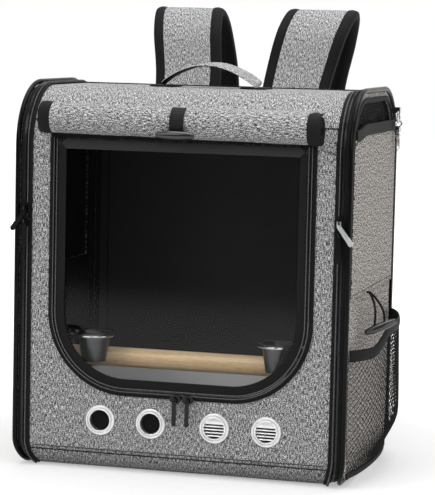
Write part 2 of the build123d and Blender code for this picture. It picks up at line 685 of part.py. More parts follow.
def tray():
    shell = tray_block(0, FLOOR_Z, TRAY_RIM_Z)
    lip = Pos(0, 0, TRAY_RIM_Z - TRAY_T) * extrude(RectangleRounded(
        2 * (TRAY_HALF_X + TRAY_LIP), 2 * (HALF_D - WALL - TRAY_PLAY + TRAY_LIP),
        TRAY_R + TRAY_LIP), amount=TRAY_T)
    return shell + lip - tray_block(TRAY_T, FLOOR_Z + TRAY_T, TRAY_RIM_Z + 0.01)


def perch_stands():
    """Uprights inside the tray's ends that hook over its rim and carry perch and cups."""
    socket_r = PERCH_D / 2 + SOCKET_WALL
    foot = Pos(PERCH_Y + STAND_FOOT_SHIFT, FLOOR_Z + TRAY_T + STAND_FOOT_H / 2) * Rectangle(
        STAND_FOOT_L, STAND_FOOT_H)
    head = Pos(PERCH_Y, PERCH_Z) * Circle(socket_r)
    cup_lug = Pos(CUP_Y, CUP_RIM_Z - CUP_T - FIT - WIRE_D / 2) * Circle(7)
    plate = Plane.YZ * hull_face(foot, head, cup_lug)
    stand = Pos(STAND_X - STAND_T, 0, 0) * extrude(plate, amount=STAND_T)
    bore = PERCH_D / 2 + 0.05
    socket = Rot(0, 90, 0) * (Cylinder(socket_r, SOCKET_L) - Cylinder(bore, SOCKET_L))
    stand += Pos(STAND_X - STAND_T - SOCKET_L / 2, PERCH_Y, PERCH_Z) * socket
    lip_x = TRAY_HALF_X + TRAY_LIP + FIT
    y0, y1 = PERCH_Y - 16, PERCH_Y + 16
    stand += block(STAND_X, lip_x + 2, y0, y1, TRAY_RIM_Z + FIT, TRAY_RIM_Z + FIT + 2.5)
    stand += block(lip_x, lip_x + 2, y0, y1, TRAY_RIM_Z - 10, TRAY_RIM_Z + FIT)
    return both_sides(stand)


def perch():
    length = 2 * (STAND_X - STAND_T)
    rod = Rot(0, 90, 0) * Cylinder(PERCH_D / 2, length)
    rod = chamfer(rod.edges().filter_by(GeomType.CIRCLE), 1)
    return Pos(0, PERCH_Y, PERCH_Z) * rod


def cup():
    """Drawn steel cup with a flat rolled rim."""
    foot = CUP_RIM_Z - CUP_H
    rim = CUP_RIM_Z - CUP_T
    outer = [(0, foot), (CUP_FOOT_R, foot), (CUP_R - CUP_TAPER, rim), (CUP_R + CUP_RIM_W, rim),
             (CUP_R + CUP_RIM_W, CUP_RIM_Z), (CUP_R - CUP_TAPER - CUP_T, CUP_RIM_Z),
             (CUP_FOOT_R - CUP_T, foot + CUP_T), (0, foot + CUP_T)]
    return revolve(Plane.XZ * make_face(Polyline(*outer, close=True)), axis=Axis.Z)


def cup_rings():
    """Wire rings that the cups drop into, clamped to the perch stands."""
    z = CUP_RIM_Z - CUP_T - FIT - WIRE_D / 2
    ring = Pos(CUP_X, CUP_Y, z) * Torus(CUP_R + WIRE_D / 2, WIRE_D / 2)
    x0 = CUP_X + CUP_R + WIRE_D / 2
    x1 = STAND_X - STAND_T
    arm = Rot(0, 90, 0) * Cylinder(WIRE_D / 2, x1 - x0)
    nut = Rot(0, 90, 0) * Cylinder(NUT_D / 2, NUT_T)
    nut = chamfer(nut.edges(), NUT_T / 5)
    ring += Pos((x0 + x1) / 2, CUP_Y, z) * arm + Pos(x1 - NUT_T / 2, CUP_Y, z) * nut
    return both_sides(ring)


# ---- bottle pocket -----------------------------------------------------------------------
def pocket_block(shrink):
    """Bulged pocket, wide at the waist and drawn in at the foot; its inside when shrunk."""
    y0, y1 = POCKET_Y0 + shrink, POCKET_Y1 - shrink
    levels = []
    top = MOUTH_BACK_Z + 9
    shapes = ((POCKET_FOOT_Z + shrink, 0.28, 8), (POCKET_WAIST_Z, 1.0, 0), (top, 0.92, 2))
    for z, bulge, tuck in shapes:
        crest = SKIN_X + POCKET_BULGE * bulge - shrink
        with BuildSketch(Plane.XY.offset(z)) as level:
            with BuildLine():
                ThreePointArc((SKIN_X, y0 + tuck), (crest, (y0 + y1) / 2), (SKIN_X, y1 - tuck))
                Line((SKIN_X, y1 - tuck), (SKIN_X, y0 + tuck))
            make_face()
        levels.append(level.sketch)
    return loft(levels)


def below_rim(drop):
    """Space under the pocket's sloping mouth, lowered by drop."""
    y0, y1 = POCKET_Y0 - 9, POCKET_Y1 + 9
    low, high = MOUTH_FRONT_Z - drop, MOUTH_BACK_Z - drop
    run = y1 - y0
    edge = Spline((y0, low), (y0 + 0.22 * run, low + 1), (y0 + 0.37 * run, high - 4),
                  (y0 + 0.6 * run, high), (y1, high))
    sides = Polyline((y1, high), (y1, -9), (y0, -9), (y0, low))
    return extrude(Plane.YZ * make_face([edge, sides]), amount=FAR)


def bottle_pocket():
    """Mesh bag sewn to the right door, and the bound rim of its mouth."""
    bag = pocket_block(0) - pocket_block(POCKET_T)
    bag -= block(0, SKIN_X, -FAR, FAR, -FAR, FAR)
    mouth = bag & below_rim(0)
    return {"bottle_pocket": mouth & below_rim(POCKET_RIM),
            "pocket_binding": mouth - below_rim(POCKET_RIM)}


def pocket_fastening():
    """Elastic loop from the shade's seam to the toggle over the pocket's mouth."""
    axis = Vector(0.764, 0.558, 0.323)
    middle = Vector(SKIN_X + TOGGLE_OUT, TOGGLE_Y, MOUTH_FRONT_Z + TOGGLE_UP)
    bar = Plane(origin=middle, z_dir=axis) * horn_toggle(TOGGLE_L - 4, TOGGLE_D)
    apex = Vector(SKIN_X + SHADE_T + ELASTIC_D, ELASTIC_Y, SHADE_FOOT_Z + 1)
    cords = Part()
    for along in (-7, 4):
        seat = middle + axis * along + Vector(0, 0, TOGGLE_D / 2 + ELASTIC_D / 2)
        waist = apex + (seat - apex) * 0.5 + Vector(5, -2, 4)
        line = FilletPolyline(tuple(apex), tuple(waist), tuple(seat), radius=12 * ELASTIC_D)
        start = Plane(origin=line @ 0, z_dir=line % 0)
        cords += sweep(start * Circle(ELASTIC_D / 2), path=line)
    stitch = Pos(SKIN_X + SHADE_T + ELASTIC_D * 0.75, ELASTIC_Y, SHADE_FOOT_Z + 1) * Box(
        ELASTIC_D * 1.5, 6, 4)
    return {"pocket_toggle": bar, "pocket_elastic": cords + stitch - bar}


# ---- snap hook ---------------------------------------------------------------------------
EYE_R = 3.4
RING_X = SKIN_X + SHADE_T + BIND_PROUD + EYE_R + RING_WIRE / 2 + 0.5
EYE_Z = RING_Z - RING_R + RING_WIRE + 0.1 - EYE_R
HOOK_WIRE = 2.8
HOOK_HALF = 4.4        # half the width of the hook, wire centre to wire centre
HOOK_DROP = 24.0       # swivel to the bottom of the hook
GATE_WIRE = 2.0
GATE_TOP = 8.5         # gate pin under the swivel's eye
GATE_FOOT = 17.0       # hook's tip under the swivel's eye


def x_rod(radius, length, y, z):
    """Rod along X, centred over the snap hook."""
    return Pos(RING_X, y, z) * Rot(0, 90, 0) * Cylinder(radius, length)


def leash_ring():
    """Wire ring and the webbing tab that holds it to the door's rim."""
    ring = Pos(RING_X, HOOK_Y, RING_Z) * Rot(0, 90, 0) * Torus(RING_R, RING_WIRE / 2)
    low = RING_Z + RING_R - RING_WIRE
    tab = block(PLATE_X1, RING_X + 1.8, HOOK_Y - 4, HOOK_Y + 4, low, low + 6)
    return ring + tab


def snap_hook():
    """Cast hook that hangs from the ring, and its sprung gate."""
    eye = Pos(RING_X, HOOK_Y, EYE_Z) * Rot(90, 0, 0) * Torus(EYE_R, RING_WIRE / 2)
    top = EYE_Z - EYE_R
    swivel = Pos(RING_X, HOOK_Y, top - 2.4) * Cylinder(2.6, 4.4)
    y0, y1 = HOOK_Y - HOOK_HALF, HOOK_Y + HOOK_HALF
    route = [(RING_X, HOOK_Y, top - 3), (RING_X, HOOK_Y, top - 6), (RING_X, y1, top - 11),
             (RING_X, y1, top - HOOK_DROP), (RING_X, y0, top - HOOK_DROP),
             (RING_X, y0, top - GATE_FOOT)]
    bend = HOOK_HALF - 0.05
    line = FilletPolyline(*route, radius=(2, 3, bend, bend))
    shank = sweep(Plane(origin=line @ 0, z_dir=line % 0) * Circle(HOOK_WIRE / 2), path=line)
    pin_z = top - GATE_TOP
    lug = x_rod(2.2, 5.0, y0, pin_z)
    lug += block(RING_X - 2.5, RING_X + 2.5, y0, HOOK_Y, pin_z - 1, pin_z + 1)
    lug += block(RING_X - 1.4, RING_X + 1.4, HOOK_Y - 1.4, HOOK_Y, pin_z - 1, top - 3)
    slot = block(RING_X - GATE_WIRE / 2 - 0.2, RING_X + GATE_WIRE / 2 + 0.2, y0 - 4, y0 + 2.4,
                 pin_z - 4, pin_z + 4)
    hook = eye + swivel + shank + (lug - slot) + x_rod(0.6, 5.0, y0, pin_z)
    foot = top - GATE_FOOT + FIT
    bar = Pos(RING_X, y0, (foot + pin_z) / 2) * Cylinder(GATE_WIRE / 2, pin_z - foot)
    gate = x_rod(1.6, GATE_WIRE, y0, pin_z) + bar - x_rod(0.65, 9.0, y0, pin_z)
    return {"snap_hook": hook, "snap_gate": gate}


# ---- all pieces --------------------------------------------------------------------------
def build_all():
    nodes = fabric_panels()
    nodes["stiffener_boards"] = stiffener_boards()
    nodes["hoop_frames"] = hoop_frames()
    nodes["back_pad"] = back_pad()
    nodes["side_zip_tapes"] = side_zip_tapes()
    nodes["hinge_bindings"] = hinge_bindings()
    nodes.update(door_parts())
    nodes["window_zip_tape"] = window_zip_tape()
    nodes.update(window_flap())
    nodes.update(vents())
    nodes.update(curtain())
    nodes.update(curtain_fastening())
    nodes["carry_handle"] = carry_handle()
    nodes.update(carrying())
    nodes.update(side_zip_sliders())
    nodes.update(window_sliders())
    nodes["tray"] = tray()
    nodes["perch_stands"] = perch_stands()
    nodes["perch"] = perch()
    nodes["cup_rings"] = cup_rings()
    nodes["cup_right"] = Pos(CUP_X, CUP_Y, 0) * cup()
    nodes["cup_left"] = Pos(-CUP_X, CUP_Y, 0) * cup()
    nodes.update(bottle_pocket())
    nodes.update(pocket_fastening())
    nodes["leash_ring"] = leash_ring()
    nodes.update(snap_hook())
    return nodes


os.makedirs("parts", exist_ok=True)
for name, solid in build_all().items():
    export_step(Part() + solid, os.path.join("parts", name + ".step"))
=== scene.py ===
from math import acos, asin, cos, exp, pi, radians, sin, sqrt

import bpy
from mathutils import Matrix, Vector, noise


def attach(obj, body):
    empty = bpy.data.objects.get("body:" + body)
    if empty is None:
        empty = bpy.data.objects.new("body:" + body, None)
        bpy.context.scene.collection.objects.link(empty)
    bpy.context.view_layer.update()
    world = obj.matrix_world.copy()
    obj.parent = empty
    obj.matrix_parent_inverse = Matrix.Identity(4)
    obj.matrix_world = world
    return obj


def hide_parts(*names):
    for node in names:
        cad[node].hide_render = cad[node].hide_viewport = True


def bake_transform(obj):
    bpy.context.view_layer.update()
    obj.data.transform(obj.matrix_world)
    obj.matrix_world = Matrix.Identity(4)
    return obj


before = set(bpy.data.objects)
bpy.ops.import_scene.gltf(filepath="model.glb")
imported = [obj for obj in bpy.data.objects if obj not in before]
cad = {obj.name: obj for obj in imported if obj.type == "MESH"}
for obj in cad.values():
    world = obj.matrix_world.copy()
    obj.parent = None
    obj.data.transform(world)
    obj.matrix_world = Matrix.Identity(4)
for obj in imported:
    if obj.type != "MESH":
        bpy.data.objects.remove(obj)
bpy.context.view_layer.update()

# A soft backpack carrier for a parrot. Lengths are in millimetres and turn to metres where a mesh is laid.
MM = 0.001

# ---- sizes shared with the solids ----
HALF_D, BODY_TOP = 107.0, 385.0
TOP_R, FOOT_R = 60.0, 24.0              # bends of the side view
ARC_Y, ARC_Z = HALF_D - TOP_R, BODY_TOP - TOP_R
WALL = 4.0
CHAIN_X = 161.0                         # parting line of a side zip
TAPE_T, CHAIN_RISE, CHAIN_W, TOOTH = 1.2, 1.4, 2.8, 2.0
DOOR_FOOT = 5.3
DOOR_SKIN_X = 170.7                     # outer face of a door's panel
HINGE_Y, HINGE_X = 105.0, 161.2         # front edge and inner edge of the strip that a door is sewn to
PIPE_X, PIPE_R, PIPE_OFF = 170.0, 2.5, 2.6
MESH_SILL, MESH_R = 196.0, TOP_R - 8    # foot and bends of a door's mesh window
NET_R = TOP_R - 5                       # bends of the net behind it
SHADE_FOOT, SHADE_TOP, SHADE_HALF, SHADE_R = 186.0, 355.0, 100.0, 53.0
WINDOW_HALF, WINDOW_TOP, WINDOW_FOOT, WINDOW_R = 136.5, 334.0, 78.0, 82.0
VENT_XS, VENT_Z, VENT_HOLE = (-80, -27, 39, 92), 52, 11.4
ROLL_Y, ROLL_Z, ROLL_R = -119.2, 352.0, 16.0
SIDES = (("left", -1), ("right", 1))
CLOTH, ZIP = ("carrier", "heather_fabric"), ("carrier", "zip_tape")     # bodies and slots


# ---- materials ----
def linear(colour):
    """sRGB hex to the linear colour that a socket takes."""
    parts = [int(colour[i:i + 2], 16) / 255 for i in (1, 3, 5)]
    return tuple(c / 12.92 if c <= 0.04045 else ((c + 0.055) / 1.055) ** 2.4 for c in parts) + (1.0,)


def link(mat, source, target):
    """Links a socket, or a node's first output, to an input."""
    mat.node_tree.links.new(getattr(source, "outputs", [source])[0], target)


def add(mat, kind, links=None, inputs=None, stops=None, **settings):
    """Adds one node to a material: what feeds its inputs, their plain values, ramp stops and settings."""
    node = mat.node_tree.nodes.new("ShaderNode" + kind)
    for key, value in settings.items():
        setattr(node, key, value)
    for key, value in (inputs or {}).items():
        node.inputs[key].default_value = value
    for key, source in (links or {}).items():
        link(mat, source, node.inputs[key])
    if stops:
        ramp = node.color_ramp
        while len(ramp.elements) < len(stops):
            ramp.elements.new(0.5)
        for element, (position, colour) in zip(ramp.elements, stops):
            element.position = position
            element.color = linear(colour)
    return node


def finish(name, base, roughness, **sockets):
    """A material with its plain values on the shader's own sockets."""
    mat = bpy.data.materials.new(name)
    mat.use_nodes = True
    shader = mat.node_tree.nodes["Principled BSDF"]
    shader.inputs["Base Color"].default_value = linear(base)
    shader.inputs["Roughness"].default_value = roughness
    for key, value in sockets.items():
        shader.inputs[key.replace("_", " ")].default_value = value
    return mat, shader


def feed(mat, shader, **sources):
    """Links sources to a shader's inputs by name."""
    for key, source in sources.items():
        link(mat, source, shader.inputs[key.replace("_", " ")])


def chart(mat, kind, scale=None, shift=(0, 0, 0)):
    """Coordinates of the cloth map or of the object, in metres unless scaled."""
    plain = add(mat, "TexCoord").outputs[kind]
    return add(mat, "Mapping", {0: plain}, {"Scale": scale, "Location": shift}) if scale else plain


def clouds(mat, vector, scale=1.0, detail=2.0, **more):
    return add(mat, "TexNoise", {"Vector": vector}, {"Scale": scale, "Detail": detail, **more})


def stripes(mat, vector, direction, scale, distortion):
    return add(mat, "TexWave", {"Vector": vector}, {"Scale": scale, "Distortion": distortion},
               bands_direction=direction).outputs["Fac"]


def joined(mat, operation, first, second):
    """Two values added, multiplied or compared; the second may be a plain number."""
    if isinstance(second, float):
        return add(mat, "Math", {0: first}, {1: second}, operation=operation)
    return add(mat, "Math", {0: first, 1: second}, operation=operation)


def ramp(mat, value, *stops):
    return add(mat, "ValToRGB", {0: value}, stops=stops)


def span(mat, value, low=0.0, high=1.0, to=(0.0, 1.0)):
    """Maps a value between low and high to another span."""
    return add(mat, "MapRange", {"Value": value},
               {"From Min": low, "From Max": high, "To Min": to[0], "To Max": to[1]})


def relief(mat, height, strength, depth):
    """Bump with its depth in millimetres."""
    return add(mat, "Bump", {"Height": height}, {"Strength": strength, "Distance": depth * MM})


def melange(name, dark, middle, light, thread=0.72, slub=4.6, lengthways="Y"):
    """Heather polyester, plain woven from yarns of mixed greys: fine specks, drawn out along the warp."""
    mat, shader = finish(name, middle, 0.9, Sheen_Weight=0.05, Sheen_Roughness=0.5,
                         Specular_IOR_Level=0.25)
    layers = []
    for across, along in ((thread, slub), (2.2 * thread, thread), (thread, thread)):
        if lengthways == "X":
            across, along = along, across
        place = chart(mat, "UV", (1000 / across, 1000 / along, 1), (3.1, 7.7 * len(layers), 0))
        layers.append(clouds(mat, place, detail=1.5, Roughness=0.7))
    total = joined(mat, "ADD", joined(mat, "ADD", *layers[:2]), layers[2])
    mean = joined(mat, "MULTIPLY", total, 1 / 3)
    # Yarns 0.45 mm apart are too fine to show, so specks are drawn from 0.72 mm and the relief at 1.1 mm.
    fine = chart(mat, "UV", (1000, 1000, 1))
    weave = joined(mat, "MULTIPLY", *[stripes(mat, fine, way, 0.286, 0.4) for way in ("X", "Y")])
    feed(mat, shader, Base_Color=ramp(mat, mean, (0.435, dark), (0.5, middle), (0.565, light)),
         Normal=relief(mat, joined(mat, "ADD", weave, mean), 0.4, 0.4))
    return mat


def ribbed(name, dark, light, pitch, roughness=0.75, depth=0.3):
    """Woven tape or webbing: fine ribs across its length, on the piece's own cloth map."""
    mat, shader = finish(name, light, roughness, Specular_IOR_Level=0.22)
    place = chart(mat, "UV", (1000, 1000, 1))
    ribs = stripes(mat, place, "Y", 0.314 / pitch, 0.6)
    mixed = joined(mat, "MULTIPLY", ribs, clouds(mat, place, 0.8))
    feed(mat, shader, Base_Color=ramp(mat, mixed, (0.1, dark), (0.6, light)),
         Normal=relief(mat, ribs, 0.5, depth))
    return mat


def pierced(name, base, pitch, hole, depth, solid=False, kind="UV", along=1):
    """Knitted mesh: round holes in staggered rows, open or lined; along 0 draws them straight through."""
    mat, shader = finish(name, base, 0.8, Specular_IOR_Level=0.25)
    place = chart(mat, kind, (1000 / pitch, 1000 / pitch * along, 1000 / pitch))
    cells = add(mat, "TexVoronoi", {"Vector": place}, {"Scale": 1.0, "Randomness": 0.15})
    edge = span(mat, cells.outputs["Distance"], hole - 0.08, hole + 0.08)
    if not solid:
        feed(mat, shader, Alpha=edge)
    feed(mat, shader, Normal=relief(mat, edge, 0.7, depth))
    return mat


def moulded(name, base, dark, roughness, **sockets):
    """Plastic from a fine-grained mould, with faint marks of handling."""
    mat, shader = finish(name, base, roughness, **sockets)
    place = chart(mat, "Object")
    marks = clouds(mat, place, 40.0, 3.0)
    feed(mat, shader, Base_Color=ramp(mat, marks, (0.3, dark), (0.7, base)),
         Roughness=span(mat, marks, to=(roughness * 0.85, min(1.0, roughness * 1.2))),
         Normal=relief(mat, clouds(mat, place, 1000 / 0.6), 0.3, 0.05))
    return mat


def drawn_metal(name, base, dark, roughness, stretch):
    """Metal with the marks of 0.5 mm grit from drawing or turning: noise that is long one way."""
    mat, shader = finish(name, base, roughness, Metallic=1.0)
    marks = clouds(mat, chart(mat, "Object", tuple(1000 / (0.5 * s) for s in stretch)), detail=3.0)
    feed(mat, shader, Base_Color=ramp(mat, marks, (0.3, dark), (0.65, base)),
         Roughness=span(mat, marks, to=(roughness * 0.7, roughness * 1.4)))
    return mat


def beech():
    """Turned dowel, bare: long pores along the stick and slow bands of early and late wood."""
    mat, shader = finish("bare_beech_dowel", "#c9a47c", 0.55)
    bands = clouds(mat, chart(mat, "Object", (6, 190, 190)), detail=3.0)
    pores = clouds(mat, chart(mat, "Object", (130, 2200, 2200)))
    half = joined(mat, "MULTIPLY", joined(mat, "ADD", bands, pores), 0.5)
    feed(mat, shader, Base_Color=ramp(mat, half, (0.36, "#e6bd88"), (0.5, "#fcdcae"), (0.62, "#ffedc9")),
         Normal=relief(mat, pores, 0.2, 0.2))
    return mat


def horn():
    """Cast resin, polished: faint brown clouds in near-black, as in horn."""
    mat, shader = finish("horn_pattern_resin", "#171310", 0.28, Coat_Weight=0.4, Coat_Roughness=0.1)
    marks = clouds(mat, chart(mat, "Object"), 130.0, 4.0, Distortion=1.5)
    feed(mat, shader, Base_Color=ramp(mat, marks, (0.42, "#0c0c0c"), (0.6, "#171412"), (0.72, "#2c2521")))
    return mat


def clear_film():
    """Clear PVC film: bright even highlights, a faint haze and slow waves."""
    mat, shader = finish("clear_pvc_film", "#0d0f10", 0.1, IOR=2.0, Alpha=0.06)
    feed(mat, shader, Normal=relief(mat, clouds(mat, chart(mat, "Object"), 9.0, 1.0), 0.05, 2.0))
    return mat


# Heather polyester: a salt-and-pepper grey that never shines; darker at the foot, paler on the straps.
HEATHER = melange("grey_heather_polyester", "#111112", "#6c6c6d", "#f4f4f4")
HEATHER_FOOT = melange("grey_heather_polyester_foot", "#0f0f10", "#616162", "#dcdcdc")
HEATHER_ROLL = melange("grey_heather_polyester_curtain", "#111112", "#6c6c6d", "#f4f4f4", lengthways="X")
HEATHER_STRAP = melange("grey_heather_polyester_strap", "#1b1b1c", "#7d7d7e", "#f0f0f0")
# Plain woven polyester in coarser yarn: a warm grey with a visible grain.
TAUPE = melange("warm_grey_plain_weave", "#100e0c", "#7a7470", "#fff8f1", thread=1.2, slub=3.4,
                lengthways="X")
# Woven nylon, polypropylene and polyester tapes: matt black with faint ribs.
LINING = ribbed("black_nylon_lining", "#060606", "#0e0e0f", 1.2, roughness=0.8, depth=0.08)
BINDING = ribbed("black_grosgrain_binding", "#0a0a0b", "#1a1a1b", 1.4)
TAPE = ribbed("black_woven_zip_tape", "#0a0a0b", "#19191b", 1.1, roughness=0.8)
WEBBING = ribbed("black_polypropylene_webbing", "#0b0b0c", "#1f1f21", 2.0, roughness=0.6, depth=0.5)
ELASTIC = ribbed("black_braided_elastic", "#080808", "#1a1a1b", 0.9, roughness=0.6)
NET = ribbed("black_netting_cord", "#070707", "#161616", 0.8, roughness=0.6)
# The window's head band is black binding drawn charcoal grey: painted sheen, standing in for the pale strip
# of reflected light under the roll.
PAINTED_SHEEN_BAND = ribbed("black_head_band_painted_sheen", "#2b2b2c", "#333335", 1.0, roughness=0.5, depth=0.1)
# Polyester sewing thread: dark on the cloth, paler on the zips, where it shows as a dotted line on the teeth;
# that pale colour is painted highlight, the glints of the teeth.
THREAD = ribbed("dark_grey_polyester_thread", "#2c2c2d", "#565657", 0.6)
GLINT_THREAD = ribbed("zip_thread_painted_glints", "#565657", "#8e8e90", 0.6)
BLACK_THREAD = ribbed("black_polyester_thread", "#101011", "#2c2c2e", 0.6, roughness=0.5)
# Knitted polyester mesh: black, soft, its holes darker than its yarn or open.
MESH = pierced("black_knitted_window_mesh", "#0a0a0a", 2.0, 0.42, 0.3)
SPACER = pierced("black_spacer_mesh", "#17171a", 3.2, 0.33, 1.0, solid=True)
CUSHION_MESH = pierced("black_spacer_mesh_cushion", "#1c1c1f", 3.2, 0.33, 1.0, solid=True,
                       kind="Object", along=0)
# Plastics: extruded PVC with a wet gloss, moulded nylon, acetal and polypropylene with a soft sheen.
PIPING = moulded("black_pvc_piping", "#0a0a0b", "#050506", 0.3, Specular_IOR_Level=0.1, Coat_Weight=0.05,
                 Coat_Roughness=0.06)
# Black nylon teeth drawn dark grey, lighter than the tapes: partly painted highlight for their glints.
TEETH_PAINTED_GLINT = moulded("black_nylon_zip_teeth_painted_glint", "#2c2c2e", "#1b1b1d", 0.22)
SPRING = moulded("black_sleeved_spring_strip", "#101011", "#0a0a0b", 0.7)
ENAMEL = moulded("black_enamelled_zinc", "#0c0c0d", "#060607", 0.25, Specular_IOR_Level=0.3)
BUCKLE = moulded("black_acetal", "#121213", "#0a0a0b", 0.45)
TRAY = moulded("light_grey_polypropylene", "#fafbfc", "#f4f5f6", 0.5)
STAND = moulded("dark_grey_nylon", "#2c2d2f", "#202123", 0.5)
BOARD = moulded("black_polypropylene_board", "#101011", "#0a0a0b", 0.6)
# Metals: white satin aluminium, turned steel drawn dark as painted shade inside the carrier, bright chromed
# wire and a polished zinc pull.
VENT_METAL = drawn_metal("satin_pressed_aluminium", "#fbfbfb", "#f0f0f1", 0.42, (6, 6, 2))
SHADED_STEEL_CUP = drawn_metal("turned_stainless_steel_painted_shade", "#57585a", "#4c4d4f", 0.34, (40, 40, 4))
CHROME = drawn_metal("chromed_wire", "#dcdee0", "#b4b6b8", 0.12, (1, 1, 6))
PULL_METAL = drawn_metal("polished_zinc_pull", "#f2f3f4", "#dadbdd", 0.3, (2, 2, 8))
FILM = clear_film()
DOWEL = beech()
HORN = horn()


# ---- mesh helpers ----
def take(obj):
    bpy.ops.object.select_all(action="DESELECT")
    obj.select_set(True)
    bpy.context.view_layer.objects.active = obj


def in_edit(obj, *steps, select="SELECT"):
    """Runs edit-mode operators, each on the whole mesh unless select is empty."""
    take(obj)
    bpy.ops.object.mode_set(mode="EDIT")
    for step, settings in steps:
        if select:
            bpy.ops.mesh.select_all(action=select)
        getattr(bpy.ops.mesh, step)(**settings)
    bpy.ops.object.mode_set(mode="OBJECT")


def modify(obj, kind, **settings):
    """Adds a modifier and applies it."""
    take(obj)
    modifier = obj.modifiers.new(kind, kind)
    for key, value in settings.items():
        setattr(modifier, key, value)
    bpy.ops.object.modifier_apply(modifier=modifier.name)


def lay(name, cells, size, place, tube=False, away=(0, 0, 190)):
    """Quads shaped by place(u, v), each from 0 to 1, with a cloth map in metres, facing away from a point.

    A tube closes across u.
    """
    bpy.ops.object.select_all(action="DESELECT")
    bpy.ops.mesh.primitive_grid_add(x_subdivisions=cells[0], y_subdivisions=cells[1], size=2.0)
    obj = bpy.context.object
    obj.name = obj.data.name = name
    mesh = obj.data
    flat = [((v.co.x + 1) / 2, (v.co.y + 1) / 2) for v in mesh.vertices]
    for vertex, (u, v) in zip(mesh.vertices, flat):
        vertex.co = Vector(place(u, v)) * MM
    uv = mesh.uv_layers.active.data
    for loop in mesh.loops:
        u, v = flat[loop.vertex_index]
        uv[loop.index].uv = (u * size[0] * MM, v * size[1] * MM)
    mesh.update()
    if tube:
        in_edit(obj, ("remove_doubles", {"threshold": 1e-6}), ("fill_holes", {"sides": 0}),
                ("normals_make_consistent", {"inside": False}))
    else:
        middle = Vector(away) * MM
        if sum(p.normal.dot(p.center - middle) * p.area for p in mesh.polygons) < 0:
            in_edit(obj, ("flip_normals", {}))
    return obj


def settle(obj, body, finishes, stand_for=(), angle=40):
    """Gives a finished piece its materials, smooth shading and body, and hides the solids it stands for."""
    if not obj.data.materials:
        for mat in finishes:
            obj.data.materials.append(mat)
    take(obj)
    bpy.ops.object.shade_smooth_by_angle(angle=radians(angle))
    if body:
        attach(obj, body)
    if stand_for:
        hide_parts(*stand_for)
    return obj


def thicken(obj, thick, finishes, edge=0.3, rim=0):
    """Gives a laid cloth its thickness inwards, a second finish inside if there is one, and soft edges."""
    for mat in finishes:
        obj.data.materials.append(mat)
    modify(obj, "SOLIDIFY", thickness=thick * MM, offset=-1, material_offset=len(finishes) - 1,
           material_offset_rim=rim, use_even_offset=False)
    if edge:
        modify(obj, "BEVEL", width=thick * edge * MM, segments=2, limit_method="ANGLE",
               angle_limit=radians(60))


def sew(name, cells, size, place, thick, finishes, body, slot, stand_for=(), edge=0.3, away=(0, 0, 190),
        rim=0):
    """A piece of cloth or tape: laid, given its thickness and settled."""
    obj = lay(name, cells, size, place, away=away)
    thicken(obj, thick, finishes, edge, rim)
    return settle(obj, body, finishes, stand_for)


def hose(name, cells, size, place, finishes, body, stand_for=(), angle=40):
    """A closed tube, laid and settled."""
    return settle(lay(name, cells, size, place, tube=True), body, finishes, stand_for, angle)


def circle(turns):
    return cos(2 * pi * turns), sin(2 * pi * turns)


def stitches(name, run, length, body, slot, mat=THREAD, pitch=3.4, radius=0.4):
    """A row of stitches: run(s) gives a point of the seam and the way out of the cloth there."""
    count = max(3, int(length / pitch))

    def place(u, v):
        s = min(max(v * length, 0.2), length - 0.2)
        point, out = run(s)
        ahead = run(s + 0.1)[0] - run(s - 0.1)[0]
        side = ahead.cross(out).normalized()
        rise = radius * (1.5 * abs(sin(pi * v * count)) - 0.9)
        across, up = circle(u)
        return point + out * (rise + radius * up) + side * (radius * across)

    return hose(name, (4, 4 * count), (4 * radius, length), place, [mat], body)


def teeth(name, run, length, body, slot, phase=0.0):
    """One half of a coil zip: rounded blocks side by side along run(s)."""
    count = int(length / TOOTH)

    def place(u, v):
        station = round(v * 4 * count)
        s = min(max((station / 4 + phase) * TOOTH, 0.1), length - 0.1)
        point, out = run(s)
        side = (run(s + 0.1)[0] - run(s - 0.1)[0]).cross(out).normalized()
        high = station % 4 in (1, 2)
        across, up = ((-0.5, 0.0), (-0.42, 1.0), (0.42, 1.0), (0.5, 0.0))[round(u * 4) % 4]
        return (point + side * (across * CHAIN_W * (1.0 if high else 0.72))
                + out * (up * CHAIN_RISE * (0.98 if high else 0.3)))

    return hose(name, (4, 4 * count), (4 * CHAIN_W, length), place, [TEETH_PAINTED_GLINT], body, angle=30)


def straight(start, end, out):
    """Seam between two points, as run(s) for a row of stitches, and its length."""
    start, end, out = Vector(start), Vector(end), Vector(out)
    length = (end - start).length
    return (lambda s: (start + (end - start) * (s / length), out)), length


def ripple(point, size, seed=0.0):
    """Slow unevenness of cloth, from -1 to 1, with waves about size millimetres long."""
    return noise.noise(Vector(point) / size + Vector((seed, seed * 0.7, 3.3)))


def smooth(t):
    t = min(max(t, 0.0), 1.0)
    return t * t * (3 - 2 * t)


def cut(obj, points, start, run):
    """Cuts a straight prism out of a cloth: a loop of points, moved by run."""
    bpy.ops.object.select_all(action="DESELECT")
    bpy.ops.mesh.primitive_circle_add(vertices=len(points), fill_type="NGON")
    tool = bpy.context.object
    for vertex, point in zip(tool.data.vertices, points):
        vertex.co = (Vector(point) + Vector(start)) * MM
    in_edit(tool, ("extrude_region_move", {"TRANSFORM_OT_translate": {"value": Vector(run) * MM}}),
            ("normals_make_consistent", {"inside": False}))
    modify(obj, "BOOLEAN", object=tool, operation="DIFFERENCE", solver="EXACT")
    bpy.data.objects.remove(tool)


